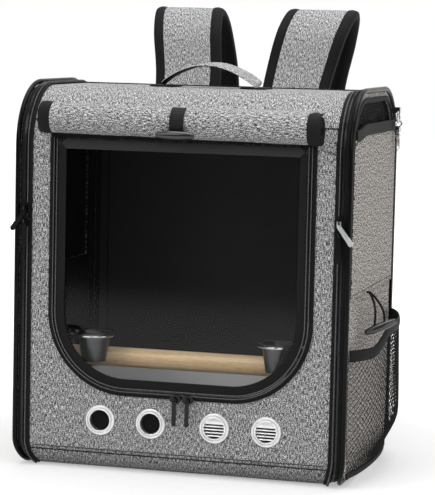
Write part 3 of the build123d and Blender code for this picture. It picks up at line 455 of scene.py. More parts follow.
# ---- outlines ----
class Outline:
    """Straight lengths and quarter bends, given as (radius,), end to end on the complex plane.

    Hand 1 turns clockwise, with the way out on the left; hand -1 is its mirror image.
    """

    def __init__(self, start, way, steps, hand=1, closed=False):
        self.closed, self.runs = closed, []
        for step in steps:
            out = hand * 1j * way
            if isinstance(step, tuple):
                radius = step[0]
                self.runs.append((start - out * radius, radius, way, out, radius * pi / 2))
                start += (way - out) * radius
                way = -out
            else:
                self.runs.append((start, 0, way, out, step))
                start += way * step
        self.length = sum(run[-1] for run in self.runs)

    def at(self, s, off=0.0):
        """Point and way out at length s, moved out by off millimetres."""
        s = s % self.length if self.closed else min(s, self.length - 1e-9)
        for base, radius, way, out, size in self.runs:
            if s <= size:
                break
            s -= size
        if radius:
            out, s = out * cos(s / radius) + way * sin(s / radius), 0
        point = base + out * (radius + off) + way * s
        return (point.real, point.imag), (out.real, out.imag)


def side_outline(foot):
    """Side view of the body, from the middle of the base, forwards, up, over and down the back."""
    flat, wall = HALF_D - FOOT_R, ARC_Z - foot - FOOT_R
    return Outline(foot * 1j, -1, (flat, (FOOT_R,), wall, (TOP_R,), 2 * ARC_Y, (TOP_R,), wall, (FOOT_R,),
                                   flat), closed=True)


BODY, DOOR = side_outline(0.0), side_outline(DOOR_FOOT)
# U of the front window, from its upper left end down and round to the upper right end.
WINDOW_LEG = WINDOW_TOP - WINDOW_FOOT - WINDOW_R
WINDOW = Outline(complex(-WINDOW_HALF, WINDOW_TOP), -1j,
                 (WINDOW_LEG, (WINDOW_R,), 2 * (WINDOW_HALF - WINDOW_R), (WINDOW_R,), WINDOW_LEG), hand=-1)
# Edge of a door's mesh window: up the front, over both arches and down the back.
MESH_EDGE = Outline(complex(-ARC_Y - MESH_R, MESH_SILL), 1j,
                    (ARC_Z - MESH_SILL, (MESH_R,), 2 * ARC_Y, (MESH_R,), ARC_Z - MESH_SILL))
S_ARCH = sum(run[-1] for run in BODY.runs[:3])            # where the front arch begins
S_BASE_FRONT = HALF_D - FOOT_R + FOOT_R * acos(1 - 18 / FOOT_R)
S_TOP_FRONT = S_ARCH + TOP_R * pi / 4
S_TOP_BACK = BODY.length - S_TOP_FRONT
S_BASE_BACK = BODY.length - S_BASE_FRONT
S_FRONT_SEAM = S_ARCH + TOP_R * asin(0.45)
S_GROUND = 93.5                         # where the side zip meets the ground


def on_body(x, s, off, outline=BODY):
    """Point on the body's skin and the way out there; the end bands draw in a little at the foot."""
    (y, z), out = outline.at(s, off)
    low = max(0.0, 1 - z / 30)
    return Vector((x * (1 - 0.05 * low * low), y, z)), Vector((0, *out))


def rear(limit, off):
    """Lengths between which the door's outline, moved out by off, lies behind limit."""
    behind = [s for s in range(int(DOOR.length)) if DOOR.at(s, off)[0][0] > limit]
    return behind[0] - 0.5, behind[-1] + 0.5


def hoop(x, off, s0, s1, outline=BODY):
    """Line round the body at x, off millimetres out, as run(s), and its length."""
    return (lambda s: on_body(x, s0 + s, off, outline)), s1 - s0


def strip(name, x0, x1, s0, s1, off, thick, finishes, body, slot, stand_for=(), outline=BODY):
    """Tape laid round the body between x0 and x1, its outer face at off."""
    return sew(name, (2, max(8, int((s1 - s0) / 4))), (abs(x1 - x0), s1 - s0),
               lambda u, v: on_body(x0 + (x1 - x0) * u, s0 + (s1 - s0) * v, off, outline)[0], thick, finishes,
               body, slot, stand_for, rim=len(finishes) - 1)


def round_window(inset, y):
    """Line round the window, drawn in by inset, as run(s)."""
    def run(s):
        (x, z), _ = WINDOW.at(s, -inset)
        return Vector((x, y, z)), Vector((0, -1, 0))
    return run


def window_band(name, inset0, inset1, y, thick, crown, mat, body, slot, stand_for):
    """Tape round the window between two insets."""
    def place(u, v):
        (x, z), _ = WINDOW.at(v * WINDOW.length, -inset0 - (inset1 - inset0) * u)
        return x, y - crown * (1 - (2 * u - 1) ** 2), z

    return sew(name, (6, 180), (inset1 - inset0, WINDOW.length), place, thick, [mat], body, slot, stand_for)


# ---- camera, light and ground ----
def make_camera():
    """Camera a little above the middle of the carrier, turned a little to its right side."""
    turn, pitch, roll = 0.270438, 0.102611, 0.0224309
    focal, picture = 2131.1, 495        # focal length and the picture's longer side, in pixels
    eye = Vector((593.456, -2109.416, 445.794)) * MM
    ahead = Vector((-sin(turn) * cos(pitch), cos(turn) * cos(pitch), -sin(pitch)))
    right = Vector((cos(turn), sin(turn), 0))
    up = right.cross(ahead)
    level, upright = cos(roll) * right + sin(roll) * up, -sin(roll) * right + cos(roll) * up
    data = bpy.data.cameras.new("camera")
    data.sensor_width = 36.0
    data.lens = focal / picture * data.sensor_width
    data.clip_end = 50
    camera = bpy.data.objects.new("camera", data)
    bpy.context.collection.objects.link(camera)
    camera.matrix_world = Matrix.Translation(eye) @ Matrix((level, upright, -ahead)).transposed().to_4x4()
    bpy.context.scene.camera = camera


def make_light(name, place, aim, size, power):
    data = bpy.data.lights.new(name, "AREA")
    data.shape = "RECTANGLE"
    data.size, data.size_y = size
    data.energy = power
    lamp = bpy.data.objects.new(name, data)
    bpy.context.collection.objects.link(lamp)
    lamp.location = place
    lamp.rotation_euler = (Vector(aim) - Vector(place)).to_track_quat("-Z", "Y").to_euler()


def eye_rays(mat):
    """Whether a ray goes straight or through film to the camera, and whether it is a reflection."""
    path = add(mat, "LightPath").outputs
    return joined(mat, "MAXIMUM", path["Is Camera Ray"], path["Is Transmission Ray"]), path["Is Glossy Ray"]


def make_world():
    """Even pale surroundings, white to the eye and in reflections from behind and above."""
    world = bpy.data.worlds.new("studio")
    bpy.context.scene.world = world
    world.use_nodes = True
    plain, glossy = eye_rays(world)
    sides = add(world, "SeparateXYZ", {0: chart(world, "Generated")})
    mirror = add(world, "Mix", {"Factor": glossy, "A": span(world, plain, to=(0.38, 1.0)),
                                "B": span(world, sides.outputs["Y"], -0.8, 0.9, (0.02, 1.0))})
    background = world.node_tree.nodes["Background"]
    background.inputs["Color"].default_value = (1, 1, 1, 1)
    feed(world, background, Strength=mirror)


def make_ground():
    """Pale floor that reaches back from 1.38 m in front; it glows to the eye and keeps the shadow."""
    bpy.ops.object.select_all(action="DESELECT")
    size, front = 8, -1.38
    bpy.ops.mesh.primitive_plane_add(size=size)
    ground = bpy.context.object
    for vertex in ground.data.vertices:
        vertex.co.y += size / 2 + front
    ground.name = "ground"
    mat, shader = finish("pale_paper_ground", "#d2d2d2", 0.9, Specular_IOR_Level=0.0)
    shader.inputs["Emission Color"].default_value = (1, 1, 1, 1)
    seen = joined(mat, "MAXIMUM", *eye_rays(mat))
    far = add(mat, "VectorMath", {0: chart(mat, "Object")}, operation="LENGTH").outputs["Value"]
    feed(mat, shader, Emission_Strength=joined(mat, "MULTIPLY", seen, span(mat, far, 0.3, 0.85, (0.4, 1.0))))
    ground.data.materials.append(mat)


bpy.context.scene.view_settings.view_transform = "Standard"
make_camera()
make_world()
make_ground()
make_light("overhead", (0.1, 0.0, 1.7), (0, 0, 0.2), (1.6, 1.3), 20)
make_light("front_fill", (-0.8, -1.4, 1.3), (0, 0, 0.2), (1.2, 1.0), 11)
make_light("eye_fill", (0.75, -1.8, 1.0), (0, 0, 0.15), (0.9, 0.7), 5.5)
make_light("side_fill", (1.9, -0.5, 0.8), (0, 0, 0.2), (1.0, 1.2), 7)


# ---- body cloth ----
SEAMS = (S_BASE_FRONT, S_FRONT_SEAM, S_TOP_BACK, S_BASE_BACK, BODY.length + S_BASE_FRONT)


def body_cloth(label, s0, s1, weave=HEATHER, slot="heather_fabric"):
    """One padded panel of the wrap: drawn in along its seams, with a slow unevenness between them."""
    half = CHAIN_X - 0.4

    def place(u, v):
        x, s = (2 * u - 1) * half, s0 + (s1 - s0) * v
        seam = min(half - abs(x), *(abs(s - line) for line in SEAMS))
        waves = 0.5 + 0.5 * ripple(on_body(x, s, 0)[0], 55)
        return on_body(x, s, -0.2 - 1.1 * exp(-seam / 2.5) - 0.5 * waves)[0]

    return sew(label + "_cloth", (110, max(12, int((s1 - s0) / 3.2))), (2 * half, s1 - s0), place, WALL - 1.2,
               [weave, LINING], "carrier", slot, [label + "_panel"], edge=0.15)


front = body_cloth("front", S_BASE_FRONT, S_TOP_FRONT)
through = (0, -130, 0), (0, 40, 0)      # from before the front cloth to behind it
opening = [WINDOW.at(WINDOW.length * k / 90, -5.5)[0] for k in range(91)]
cut(front, [(x, 0, min(z, 325)) for x, z in opening], *through)
for vent_x in VENT_XS:
    cut(front, [(vent_x + VENT_HOLE * cos(k * pi / 16), 0, VENT_Z + VENT_HOLE * sin(k * pi / 16))
                for k in range(32)], *through)
body_cloth("top", S_TOP_FRONT, S_TOP_BACK)
body_cloth("back", S_TOP_BACK, S_BASE_BACK)
body_cloth("base", S_BASE_BACK, BODY.length + S_BASE_FRONT, HEATHER_FOOT, "base_fabric")

# Seams across the panels: a row of stitches beside each.
for label, s in (("base_front", S_BASE_FRONT + 4), ("top_back", S_TOP_BACK + 4),
                 ("base_back", S_BASE_BACK - 4)):
    (y, z), out = BODY.at(s, -0.3)
    stitches("stitches_" + label, *straight((-151, y, z), (151, y, z), (0, *out)), *CLOTH)


def welt(name, s, off, radius):
    """Thin black cord in a seam that runs across the carrier."""
    (y, z), (out_y, out_z) = BODY.at(s, off)

    def place(u, v):
        across, up = (radius * part for part in circle(u))
        up += 0.25 * ripple((v * 310, s, 0), 40)
        return -155 + 310 * v, y + out_y * up + out_z * across, z + out_z * up - out_y * across

    return hose(name, (8, 80), (2 * pi * radius, 310), place, [BINDING], "carrier")


welt("welt_base", S_BASE_FRONT, -1.0, 0.4)
welt("welt_front", S_FRONT_SEAM, -0.9, 0.6)
welt("welt_top", BODY.length / 2 + 55, 0.1, 1.0)

# ---- side zips ----
S_HINGE0, S_HINGE1 = rear(HINGE_Y, TAPE_T + CHAIN_RISE)
S_END = BODY.length - S_GROUND
# Pale stitches laid on top of the zip teeth: painted highlight, a dotted line of glints.
ZIP_GLINT_STITCH = {"mat": GLINT_THREAD, "pitch": 3.2}
for side, sign in SIDES:
    door = side + "_door"
    strip("zip_tape_" + side, sign * (CHAIN_X - 6), sign * CHAIN_X, S_GROUND, S_END, TAPE_T, TAPE_T, [TAPE],
          *ZIP, ["side_zip_tapes"])
    teeth("zip_teeth_" + side, *hoop(sign * (CHAIN_X - 1.5), TAPE_T - 0.1, S_GROUND, S_END), *ZIP)
    seam = hoop(sign * (CHAIN_X - 1.6), TAPE_T + CHAIN_RISE - 0.1, S_GROUND, S_END)
    stitches("zip_stitches_and_glints_" + side, *seam, *ZIP, radius=0.42, **ZIP_GLINT_STITCH)
    start, inner = S_HINGE1 - DOOR.length, sign * (CHAIN_X + 0.4)
    strip("door_tape_" + side, inner, sign * 167.6, start, S_HINGE0, TAPE_T, TAPE_T, [TAPE], door, "zip_tape",
          ["door_zip_" + side], DOOR)
    teeth("door_teeth_" + side, *hoop(sign * 162.9, TAPE_T - 0.1, start, S_HINGE0, DOOR), door, "zip_tape",
          phase=0.5)
    strip("door_edge_" + side, inner, sign * 168.4, start, S_HINGE0, -0.1, WALL - 0.3, [LINING], door,
          "taupe_fabric", (), DOOR)


def piping(name, s0, s1, body, stand_for):
    """Extruded piping, sewn round the corner; its end faces are flat."""
    def place(u, v):
        point, out = on_body(sign * PIPE_X, s0 + (s1 - s0) * v, PIPE_OFF, DOOR)
        across, up = circle(u)
        return point + (out * up + Vector((across, 0, 0))) * (PIPE_R * (1 + 0.02 * ripple(point, 14)))

    return hose(name, (14, int((s1 - s0) / 3.5)), (2 * pi * PIPE_R, s1 - s0), place, [PIPING], body,
                stand_for)


P_HINGE0, P_HINGE1 = rear(HINGE_Y, PIPE_OFF + PIPE_R)
for side, sign in SIDES:
    piping("door_piping_tube_" + side, P_HINGE1 - DOOR.length, P_HINGE0, side + "_door",
           ["door_piping_" + side])
    piping("hinge_piping_" + side, P_HINGE0 + 1, P_HINGE1 - 1, "carrier", ["hinge_bindings"])
    for label, edge_x, off, thick, finishes, slot in (
            ("cloth", 170.5, 0.0, 1.5, [HEATHER, LINING], "heather_fabric"),
            ("tape", 167.6, TAPE_T, TAPE_T - 0.1, [BINDING], "zip_tape")):
        strip(f"hinge_{label}_{side}", sign * HINGE_X, sign * edge_x, S_HINGE0 + 3, S_HINGE1 - 3, off, thick,
              finishes, "carrier", slot, ["hinge_bindings"])
    # Sewn strip that the door turns on.
    hinge = sew("hinge_strip_" + side, (12, 60), (7, 312),
                lambda u, v: (sign * 172.7, 101.5 + 7 * u, 24 + 312 * v), 0.5, [BINDING], None, "zip_tape",
                away=(0, HINGE_Y, 180))
    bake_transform(hinge)


# ---- doors ----
def half_depth(z, inset=0.0):
    """Half of the door's depth at height z, drawn in by inset."""
    if z > ARC_Z:
        return ARC_Y + sqrt(max((TOP_R - inset) ** 2 - (z - ARC_Z) ** 2, 0))
    if z < DOOR_FOOT + FOOT_R:
        return HALF_D - FOOT_R + sqrt(max((FOOT_R - inset) ** 2 - (DOOR_FOOT + FOOT_R - z) ** 2, 0))
    return HALF_D - inset


def on_door(z0, z1, half, front, skin):
    """Size and shape of a door's cloth between two heights: half(z) deep each way, skin(y, z) out."""
    def place(u, v):
        z = z0 + (z1 - z0) * v
        reach = half(z)
        y = -reach + (min(reach, front) + reach) * u
        return sign * skin(y, z), y, z

    return (2 * half(z0), z1 - z0), place


def net_half(z):
    return ARC_Y + sqrt(max(NET_R ** 2 - max(z - ARC_Z, 0) ** 2, 0))


def mouth(y):
    """Height of the pocket's mouth, low in front and high behind."""
    return 137 + 19 * smooth((y + 68) / 50)


def bulge(y, z):
    """How far the pocket stands out of the door."""
    level = 0.28 + 0.72 * smooth((z - 8) / 52) if z < 60 else 1 - 0.08 * smooth((z - 60) / 105)
    across = 1 - ((y + 1.5) / (99.5 - 8 * (1 - smooth((z - 10) / 45)))) ** 2
    return 28 * level * max(across, 0) ** 0.8


def shade_half(z):
    if z > ARC_Z:
        return ARC_Y + sqrt(SHADE_R ** 2 - (z - ARC_Z) ** 2)
    return SHADE_HALF


def shade_top(y):
    """Height of the bound upper edge, which dips at the front."""
    return SHADE_TOP - 5 * smooth((-50 - y) / 45)


for side, sign in SIDES:
    door = side + "_door"

    def skin(y, z):
        seam = min(abs(z - SHADE_FOOT), half_depth(z) - abs(y))
        return DOOR_SKIN_X - 0.3 - 0.6 * exp(-seam / 3) - 0.5 * (0.5 + 0.5 * ripple((y, z, sign), 60))

    panel = lay("door_cloth_" + side, (54, 100),
                *on_door(DOOR_FOOT + 0.3, BODY_TOP - 0.3, lambda z: half_depth(z, 0.2), HINGE_Y, skin))
    thicken(panel, 2.6, [TAUPE, LINING], edge=0.2)
    arch = [(0, MESH_R * cos(k * pi / 24) + middle, MESH_R * sin(k * pi / 24) + ARC_Z)
            for middle, bend in ((ARC_Y, range(13)), (-ARC_Y, range(12, 25))) for k in bend]
    arch += [(0, -ARC_Y - MESH_R, MESH_SILL), (0, ARC_Y + MESH_R, MESH_SILL)]
    cut(panel, arch, (sign * 150, 0, 0), (sign * 40, 0, 0))
    settle(panel, door, [TAUPE, LINING], ["door_panel_" + side])

    net_place = on_door(MESH_SILL - 3, BODY_TOP - 5.2, net_half, ARC_Y + NET_R, lambda y, z: 167.0)
    net = sew("door_net_" + side, (40, 40), *net_place, 0.7, [MESH], door, "black_mesh",
              ["door_mesh_" + side], edge=0)

    def rim_place(u, v):
        y, z = MESH_EDGE.at(v * MESH_EDGE.length, 5.4 * u - 1.5)[0]
        return sign * (171.0 + 0.6 * sin(pi * u)), y, z

    sew("mesh_rim_binding_" + side, (4, 150), (7, 515), rim_place, 1.2, [BINDING], door, "black_binding")

    def shade_skin(y, z):
        """Hangs a little slack between its sewn edges."""
        slack = min(1.0, (z - SHADE_FOOT) / 30) * min(1.0, (shade_half(z) - abs(y)) / 22)
        return 172.2 + slack * (0.8 + 1.5 * ripple((y * 0.6, z, sign * 9), 45))

    def shade_place(u, v):
        z = SHADE_FOOT + (SHADE_TOP - 1.0 - SHADE_FOOT) * v
        y = shade_half(z) * (2 * u - 1)
        z -= (SHADE_TOP - shade_top(y)) * v
        return sign * shade_skin(y, z), y, z

    shade = sew("shade_cloth_" + side, (50, 44), (200, 168), shade_place, 1.1, [TAUPE, LINING], door,
                "taupe_fabric", ["door_shade_" + side])

    def bind_place(u, v):
        """Folded binding over the shade's upper edge."""
        y = -99.0 + 198.0 * u
        z1 = shade_top(y)
        reach = shade_half(z1 - 4)
        y = max(-reach, min(reach, y))
        z = z1 - 11 * v
        return sign * (shade_skin(y, z) + 0.9), y, z

    edge = sew("shade_binding_" + side, (60, 6), (198, 11), bind_place, 2.4, [BINDING], door, "black_binding")
    seam_x, seam_z = sign * 172.3, SHADE_FOOT + 4
    stitches("shade_stitches_" + side, *straight((seam_x, -99, seam_z), (seam_x, 99, seam_z), (sign, 0, 0)),
             door, "taupe_fabric")

# ---- bottle pocket of knotted net ----
sign = 1


def pocket_place(u, v):
    y = -101 + 199 * u
    z = 10.5 + (mouth(y) - 6 - 10.5) * v
    y = -1.5 + (y + 1.5) * (1 - 0.08 * (1 - smooth((z - 10) / 45)))
    return 171.2 + bulge(y, z), y, z


# A grid of cords is turned to diamonds: each cell gets a middle point, and the first edges go.
net = lay("pocket_net", (32, 19), (215, 140), pocket_place)
corners = len(net.data.vertices)
in_edit(net, ("poke", {}))
in_edit(net, ("select_mode", {"type": "EDGE"}), ("select_all", {"action": "DESELECT"}))
for edge in net.data.edges:
    edge.select = max(edge.vertices) < corners
in_edit(net, ("select_mode", {"type": "EDGE"}), ("dissolve_edges", {"use_verts": False}), select=None)
modify(net, "WIREFRAME", thickness=0.0007, use_replace=True, use_boundary=True, use_even_offset=False)
settle(net, "right_door", [NET], ["bottle_pocket"])


def pocket_rim_place(u, v):
    y = -100.5 + 198 * u
    z = mouth(y) - 12 * v
    return 171.6 + bulge(y, z) + 0.9 * sin(pi * v), y, z


def pocket_foot_place(u, v):
    return 171.6 + max(bulge(-97 + 190 * u, 11) * 1.02, 0.6), -97 + 190 * u, 8.5 + 6 * v


for name, cells, size, place, thick in (
        ("pocket_rim", (70, 6), (215, 12), pocket_rim_place, 1.6),
        ("pocket_foot_binding", (50, 3), (200, 6), pocket_foot_place, 1.4)):
    sew(name, cells, size, place, thick, [BINDING], "right_door", "black_binding", ["pocket_binding"])

# Elastic loop from the shade's seam to the toggle.
toggle_mid, toggle_axis = Vector((191.9, -50.5, 155)), Vector((0.764, 0.558, 0.323))
apex = Vector((174.7, -38, 187))
CORD_D = 2.4
for label, along in (("front", -7), ("rear", 4)):
    seat = toggle_mid + toggle_axis * along + Vector((0, 0, 4.6))
    waist = apex + (seat - apex) * 0.5 + Vector((5, -2, 4))
    curve = bpy.data.curves.new("elastic_" + label, "CURVE")
    curve.dimensions = "3D"
    line = curve.splines.new("NURBS")
    route = [apex, apex + Vector((2.5, 0, 2)), waist, seat + Vector((1, -1, 6)), seat]
    line.points.add(len(route) - 1)
    for point, place in zip(line.points, route):
        point.co = (*(place * MM), 1)
    line.order_u = 3
    line.use_endpoint_u = True
    curve.bevel_depth = CORD_D / 2 * MM
    curve.bevel_resolution = 3
    curve.use_fill_caps = True
    strand = bpy.data.objects.new("elastic_" + label, curve)
    bpy.context.collection.objects.link(strand)
    curve.materials.append(ELASTIC)
    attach(strand, "right_door")
    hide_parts("pocket_elastic")

# ---- front window ----
FRAME = ("window_flap", "black_binding")
window_band("window_tape", 0, 6.0, -108.2, 1.1, 0.0, TAPE, *ZIP, ["window_zip_tape"])
teeth("window_teeth", round_window(4.5, -108.1), WINDOW.length, *ZIP)
# Pale stitches on top of the window's teeth: painted highlight, a dotted line of glints.
stitches("window_stitches_and_glints", round_window(4.6, -109.5), WINDOW.length, *ZIP, radius=0.36, **ZIP_GLINT_STITCH)
window_band("flap_binding", 6.4, 17.3, -108.6, 2.0, 0.5, BINDING, *FRAME, ["window_frame"])
teeth("flap_teeth", round_window(7.8, -108.5), WINDOW.length - 4, *FRAME, phase=0.5)
stitches("flap_stitches_and_glints", round_window(7.9, -109.9), WINDOW.length, *FRAME, radius=0.36, **ZIP_GLINT_STITCH)
# Head band over the film; its charcoal colour is painted sheen.
sew("flap_head_binding", (60, 5), (10.6, 260),
    lambda u, v: (-130 + 260 * u, -108.6 - 0.5 * sin(pi * v), 323.2 + 10.6 * v), 2.0, [PAINTED_SHEEN_BAND], *FRAME,
    ["window_frame"])


def head_tape(u, v):
    z = WINDOW_TOP - 0.2 + 8 * v
    return -136 + 272 * u, -107.9 - 0.3 * sin(pi * v) + 0.05 * max(0, z - WINDOW_TOP), z + 0.4


sew("window_head_tape", (60, 4), (8, 272), head_tape, 0.9, [TAPE], *ZIP)


def film_place(u, v):
    """Film held by the flap's frame, a little proud in the middle, with one crease low on the left."""
    foot, head, bend = 92, 325, 68.0
    z = foot + (head - foot) * v
    low = WINDOW_FOOT + WINDOW_R
    half = 122.5 if z > low else 54.5 + sqrt(max(bend ** 2 - (low - z) ** 2, 0))
    x = half * (2 * u - 1)
    rim = min(half - abs(x), z - foot, head - z)
    swell = 0.9 * smooth(rim / 26) + 0.12 * ripple((x, 0, z), 90, 5)
    along, over = (x + 104) * 0.9 - (z - 138) * 0.43, (x + 104) * 0.43 + (z - 138) * 0.9
    crease = 2.6 * exp(-(along / 7) ** 2 - (over / 2.6) ** 2)
    return x, -106.9 - swell - crease, z


film = sew("clear_film", (110, 110), (245, 233), film_place, 0.7, [FILM], "window_flap", "clear_pvc",
           ["window_pane"], edge=0, away=(0, 0, 200))

# ---- vents ----
# Half-section of an eyelet as radius and height over the fabric: two rolled beads, a barrel and a washer.
EYELET = [(10.4, -4.8), (10.4, 0.6), (10.5, 1.7), (11.0, 2.0), (11.6, 1.8), (11.9, 1.2), (12.0, -0.9),
          (12.7, -0.9), (12.8, 0.9), (13.3, 1.5), (14.0, 1.7), (14.8, 1.2), (15.3, 0.5), (15.4, 0.0),
          (11.2, -0.3), (11.2, -4.0), (14.0, -4.0), (14.0, -4.8), (10.2, -4.8)]


def eyelet_place(u, v):
    radius, rise = EYELET[round(u * (len(EYELET) - 1))]
    across, up = circle(v)
    return vent_x + radius * across, -107.2 - rise, VENT_Z + radius * up


def slat_place(u, v):
    """One slat, tilted to shed rain; the topmost is the broad hood."""
    z = slat_z + (v - 0.5) * slat_h
    reach = sqrt(max(10.4 ** 2 - (z - VENT_Z) ** 2, 0.2))
    return vent_x + reach * (2 * u - 1), -106.4 + slat_tilt * (v - 0.5) - 0.5 * sin(pi * v), z


def screen_place(u, v):
    across, up = circle(u)
    return vent_x + 10.1 * across * v, -102.6, VENT_Z + 10.1 * up * v


for number, vent_x in enumerate(VENT_XS):
    louvred = number > 1
    hose(f"vent_eyelet_{number}", (len(EYELET) - 1, 48), (30, 80), eyelet_place, [VENT_METAL], "carrier",
         ["vent_louvres" if louvred else "vent_rings"], angle=50)
    screen = lay(f"vent_screen_{number}", (10, 10), (20, 20), screen_place, away=(0, 0, VENT_Z))
    in_edit(screen, ("remove_doubles", {"threshold": 1e-6}))
    thicken(screen, 0.4, [LINING], edge=0)
    settle(screen, "carrier", [LINING])
    for step in range(5 if louvred else 0):
        slat_z, slat_h, slat_tilt = (58.9, 6.0, 0.6) if step == 0 else (57.0 - 3.1 * step, 1.7, 1.6)
        sew(f"vent_slat_{number}_{step}", (14, 3), (20, slat_h), slat_place, 0.6, [VENT_METAL], "carrier",
            "vent_metal", away=(vent_x, 0, VENT_Z))


# ---- rolled curtain ----
TURNS = 3.4
LOOP_X = 2.0


def roll_point(x, turn, extra=0.0):
    """The rolled cloth: from its seam on the arch, turn -0.1, on to the roll at 0, and round inwards."""
    radius = ROLL_R + 0.1 - 3.3 * turn
    angle = radians(78) + 2 * pi * max(turn, 0)
    radius *= 1 + 0.035 * ripple((x * 0.35, cos(angle) * 9, sin(angle) * 9), 14, 2)
    radius -= 1.3 * exp(-((x - LOOP_X) / 8) ** 2) * (1 if turn < 1 else 0.5)
    radius += extra
    sag = -0.013 * x
    point = Vector((x, ROLL_Y + radius * cos(angle), ROLL_Z + sag + radius * sin(angle)))
    if turn < 0:
        seam = Vector((x, -ARC_Y - TOP_R * cos(radians(45)), ARC_Z + TOP_R * sin(radians(45)) + 0.4))
        point = point.lerp(seam, min(1.0, -turn / 0.1))
    return point


roll = sew("curtain_cloth", (110, 116), (260, 285),
           lambda u, v: roll_point(-129.5 + 261 * u, -0.1 + (TURNS + 0.1) * v), 1.3, [HEATHER_ROLL],
           "carrier", "curtain_fabric", ["curtain_roll"], edge=0, away=(0, ROLL_Y, ROLL_Z))
for label, x0 in (("left", -141.0), ("right", 131.0)):
    def end_place(u, v):
        return roll_point(x0 + 12 * u, TURNS * v, 0.9 * sin(pi * min(max(u, 0.12), 0.88)))

    sew("curtain_end_" + label, (6, 110), (12, 270), end_place, 2.2, [BINDING], "carrier",
                     "black_binding", ["curtain_bindings"], edge=0, away=(x0 + 6, ROLL_Y, ROLL_Z))


def loop_place(u, v):
    angle = radians(110 + (214 - 110) * v)
    reach = ROLL_R + 1.6
    return (LOOP_X + 7 * (2 * u - 1), ROLL_Y + reach * cos(angle), ROLL_Z + reach * sin(angle))


sew("curtain_strap", (4, 40), (14, 32), loop_place, 1.5, [WEBBING], "carrier", "black_webbing",
    ["curtain_loop"], away=(LOOP_X, ROLL_Y, ROLL_Z))


# ---- straps ----
def round_pad(u):
    """Where u lies on a pad: across, from -1 to 1, and 1 for the face or -1 for the back."""
    return (1 - 4 * u, 1) if u < 0.5 else (4 * u - 3, -1)


def spline_point(points, t):
    """Point of a smooth line through the points, t from 0 to 1."""
    t = min(max(t, 0.0), 1.0) * (len(points) - 1)
    k = min(int(t), len(points) - 2)
    p = [Vector(points[min(max(k + j, 0), len(points) - 1)]) for j in (-1, 0, 1, 2)]
    f = t - k
    return 0.5 * ((2 * p[1]) + (p[2] - p[0]) * f + (2 * p[0] - 5 * p[1] + 4 * p[2] - p[3]) * f * f
                  + (3 * p[1] - p[0] - 3 * p[2] + p[3]) * f ** 3)


def strap_frame(points, t):
    """Point of a strap at t, its level width direction, its outward face direction and its way along."""
    point = spline_point(points, t)
    along = (spline_point(points, t + 0.004) - spline_point(points, t - 0.004)).normalized()
    side = (Vector((1, 0, 0)) - along * along.x).normalized()
    return point, side, along.cross(side).normalized(), along


# Middle lines of the two straps, from the yoke over the shoulder to the ladder lock.
STRAPS = {"left": [(-54, 88, 352), (-56, 101, 400), (-61, 111, 442), (-65, 136, 463),
                   (-63, 166, 440), (-60, 194, 378), (-66, 204, 300), (-78, 186, 222)],
          "right": [(60, 88, 352), (67, 101, 400), (77, 111, 442), (84, 136, 463),
                    (76, 166, 440), (60, 194, 378), (62, 204, 300), (74, 186, 222)]}


def strap_half(t):
    """Half of a padded strap's width, widest over the shoulder."""
    return (71 + 4 * smooth(t / 0.35) - 10 * smooth((t - 0.5) / 0.5)) / 2


for side, points in STRAPS.items():
    def strap_place(u, v):
        """Crowned pad: u runs round it, over the face and back under the mesh."""
        t = 0.04 + 0.96 * v
        point, level, face, _ = strap_frame(points, t)
        half = strap_half(t) - 2.0
        x, upper = round_pad(u)
        across = half * x
        thick = 4.6 * upper * sqrt(1 - x ** 6) * (1 + 0.08 * ripple(point + level * across, 30))
        close = min(1.0, (1 - v) / 0.03 + 0.25) * min(1.0, v / 0.03 + 0.25)
        return point + level * across + face * (thick * close)

    pad = lay("strap_pad_" + side, (40, 120), (142, 400), strap_place, tube=True)
    for polygon in pad.data.polygons:
        centre = polygon.center / MM
        near = min(range(61), key=lambda k: (spline_point(points, k / 60) - centre).length)
        _, _, face, _ = strap_frame(points, near / 60)
        polygon.material_index = 0 if polygon.normal.dot(face) < 0.1 else 1
    settle(pad, "carrier", [HEATHER_STRAP, SPACER], ["shoulder_strap_" + side])
    for edge_name, hand in (("inner", -1), ("outer", 1)):
        def bind(u, v):
            t = 0.04 + 0.96 * v
            point, level, face, _ = strap_frame(points, t)
            x, y = circle(u)
            across = 6.5 * (abs(x) ** 0.7) * (1 if x > 0 else -1)
            return (point + level * (hand * (strap_half(t) - 6.2 + across))
                    + face * ((5.2 - 0.14 * max(across, 0)) * (abs(y) ** 0.6) * (1 if y > 0 else -1)))

        hose(f"strap_{edge_name}_binding_{side}", (12, 110), (24, 420), bind, [BINDING], "carrier")


# ---- carry handle ----
def handle_place(u, v):
    """Flat padded loop that leans back at one end and forward at the other."""
    x = -52.5 + 101 * v
    z = 388.4 + 20.2 * sin(pi * v) ** 0.82
    lean = radians(-3 + 15 * v)
    side, upper = round_pad(u)
    across = (9 + 5 * smooth(v / 0.5)) * side
    up = 1.7 * upper * sqrt(1 - side ** 4) * (1 + 0.15 * ripple((x, across, upper), 9))
    return x, across * cos(lean) - up * sin(lean), z + across * sin(lean) + up * cos(lean)


handle = lay("carry_handle_loop", (24, 60), (62, 120), handle_place, tube=True)
for polygon in handle.data.polygons:
    inner = Vector((polygon.center.x, 0, polygon.center.z)) - Vector((-0.002, 0, 0.33))
    polygon.material_index = 1 if polygon.normal.dot(inner) < -0.045 else 0
settle(handle, "carrier", [HEATHER_STRAP, WEBBING], ["carry_handle"])
for label, x in (("left", -50.0), ("right", 46.0)):
    def handle_patch(u, v):
        hem = min(u, 1 - u, v, 1 - v)
        return x - 13 + 26 * u, -17 + 34 * v, 386.7 - 0.7 * exp(-hem / 0.05)

    sew("handle_patch_" + label, (12, 14), (26, 34), handle_patch, 1.3, [BINDING], "carrier",
        "handle_webbing", ["carry_handle"], away=(0, 0, 300))


# ---- yoke, corner patches and webbings ----
S_YOKE0, S_YOKE1 = 629.0, 691.0
YOKE_X0, YOKE_X1 = -101.5, 111.5


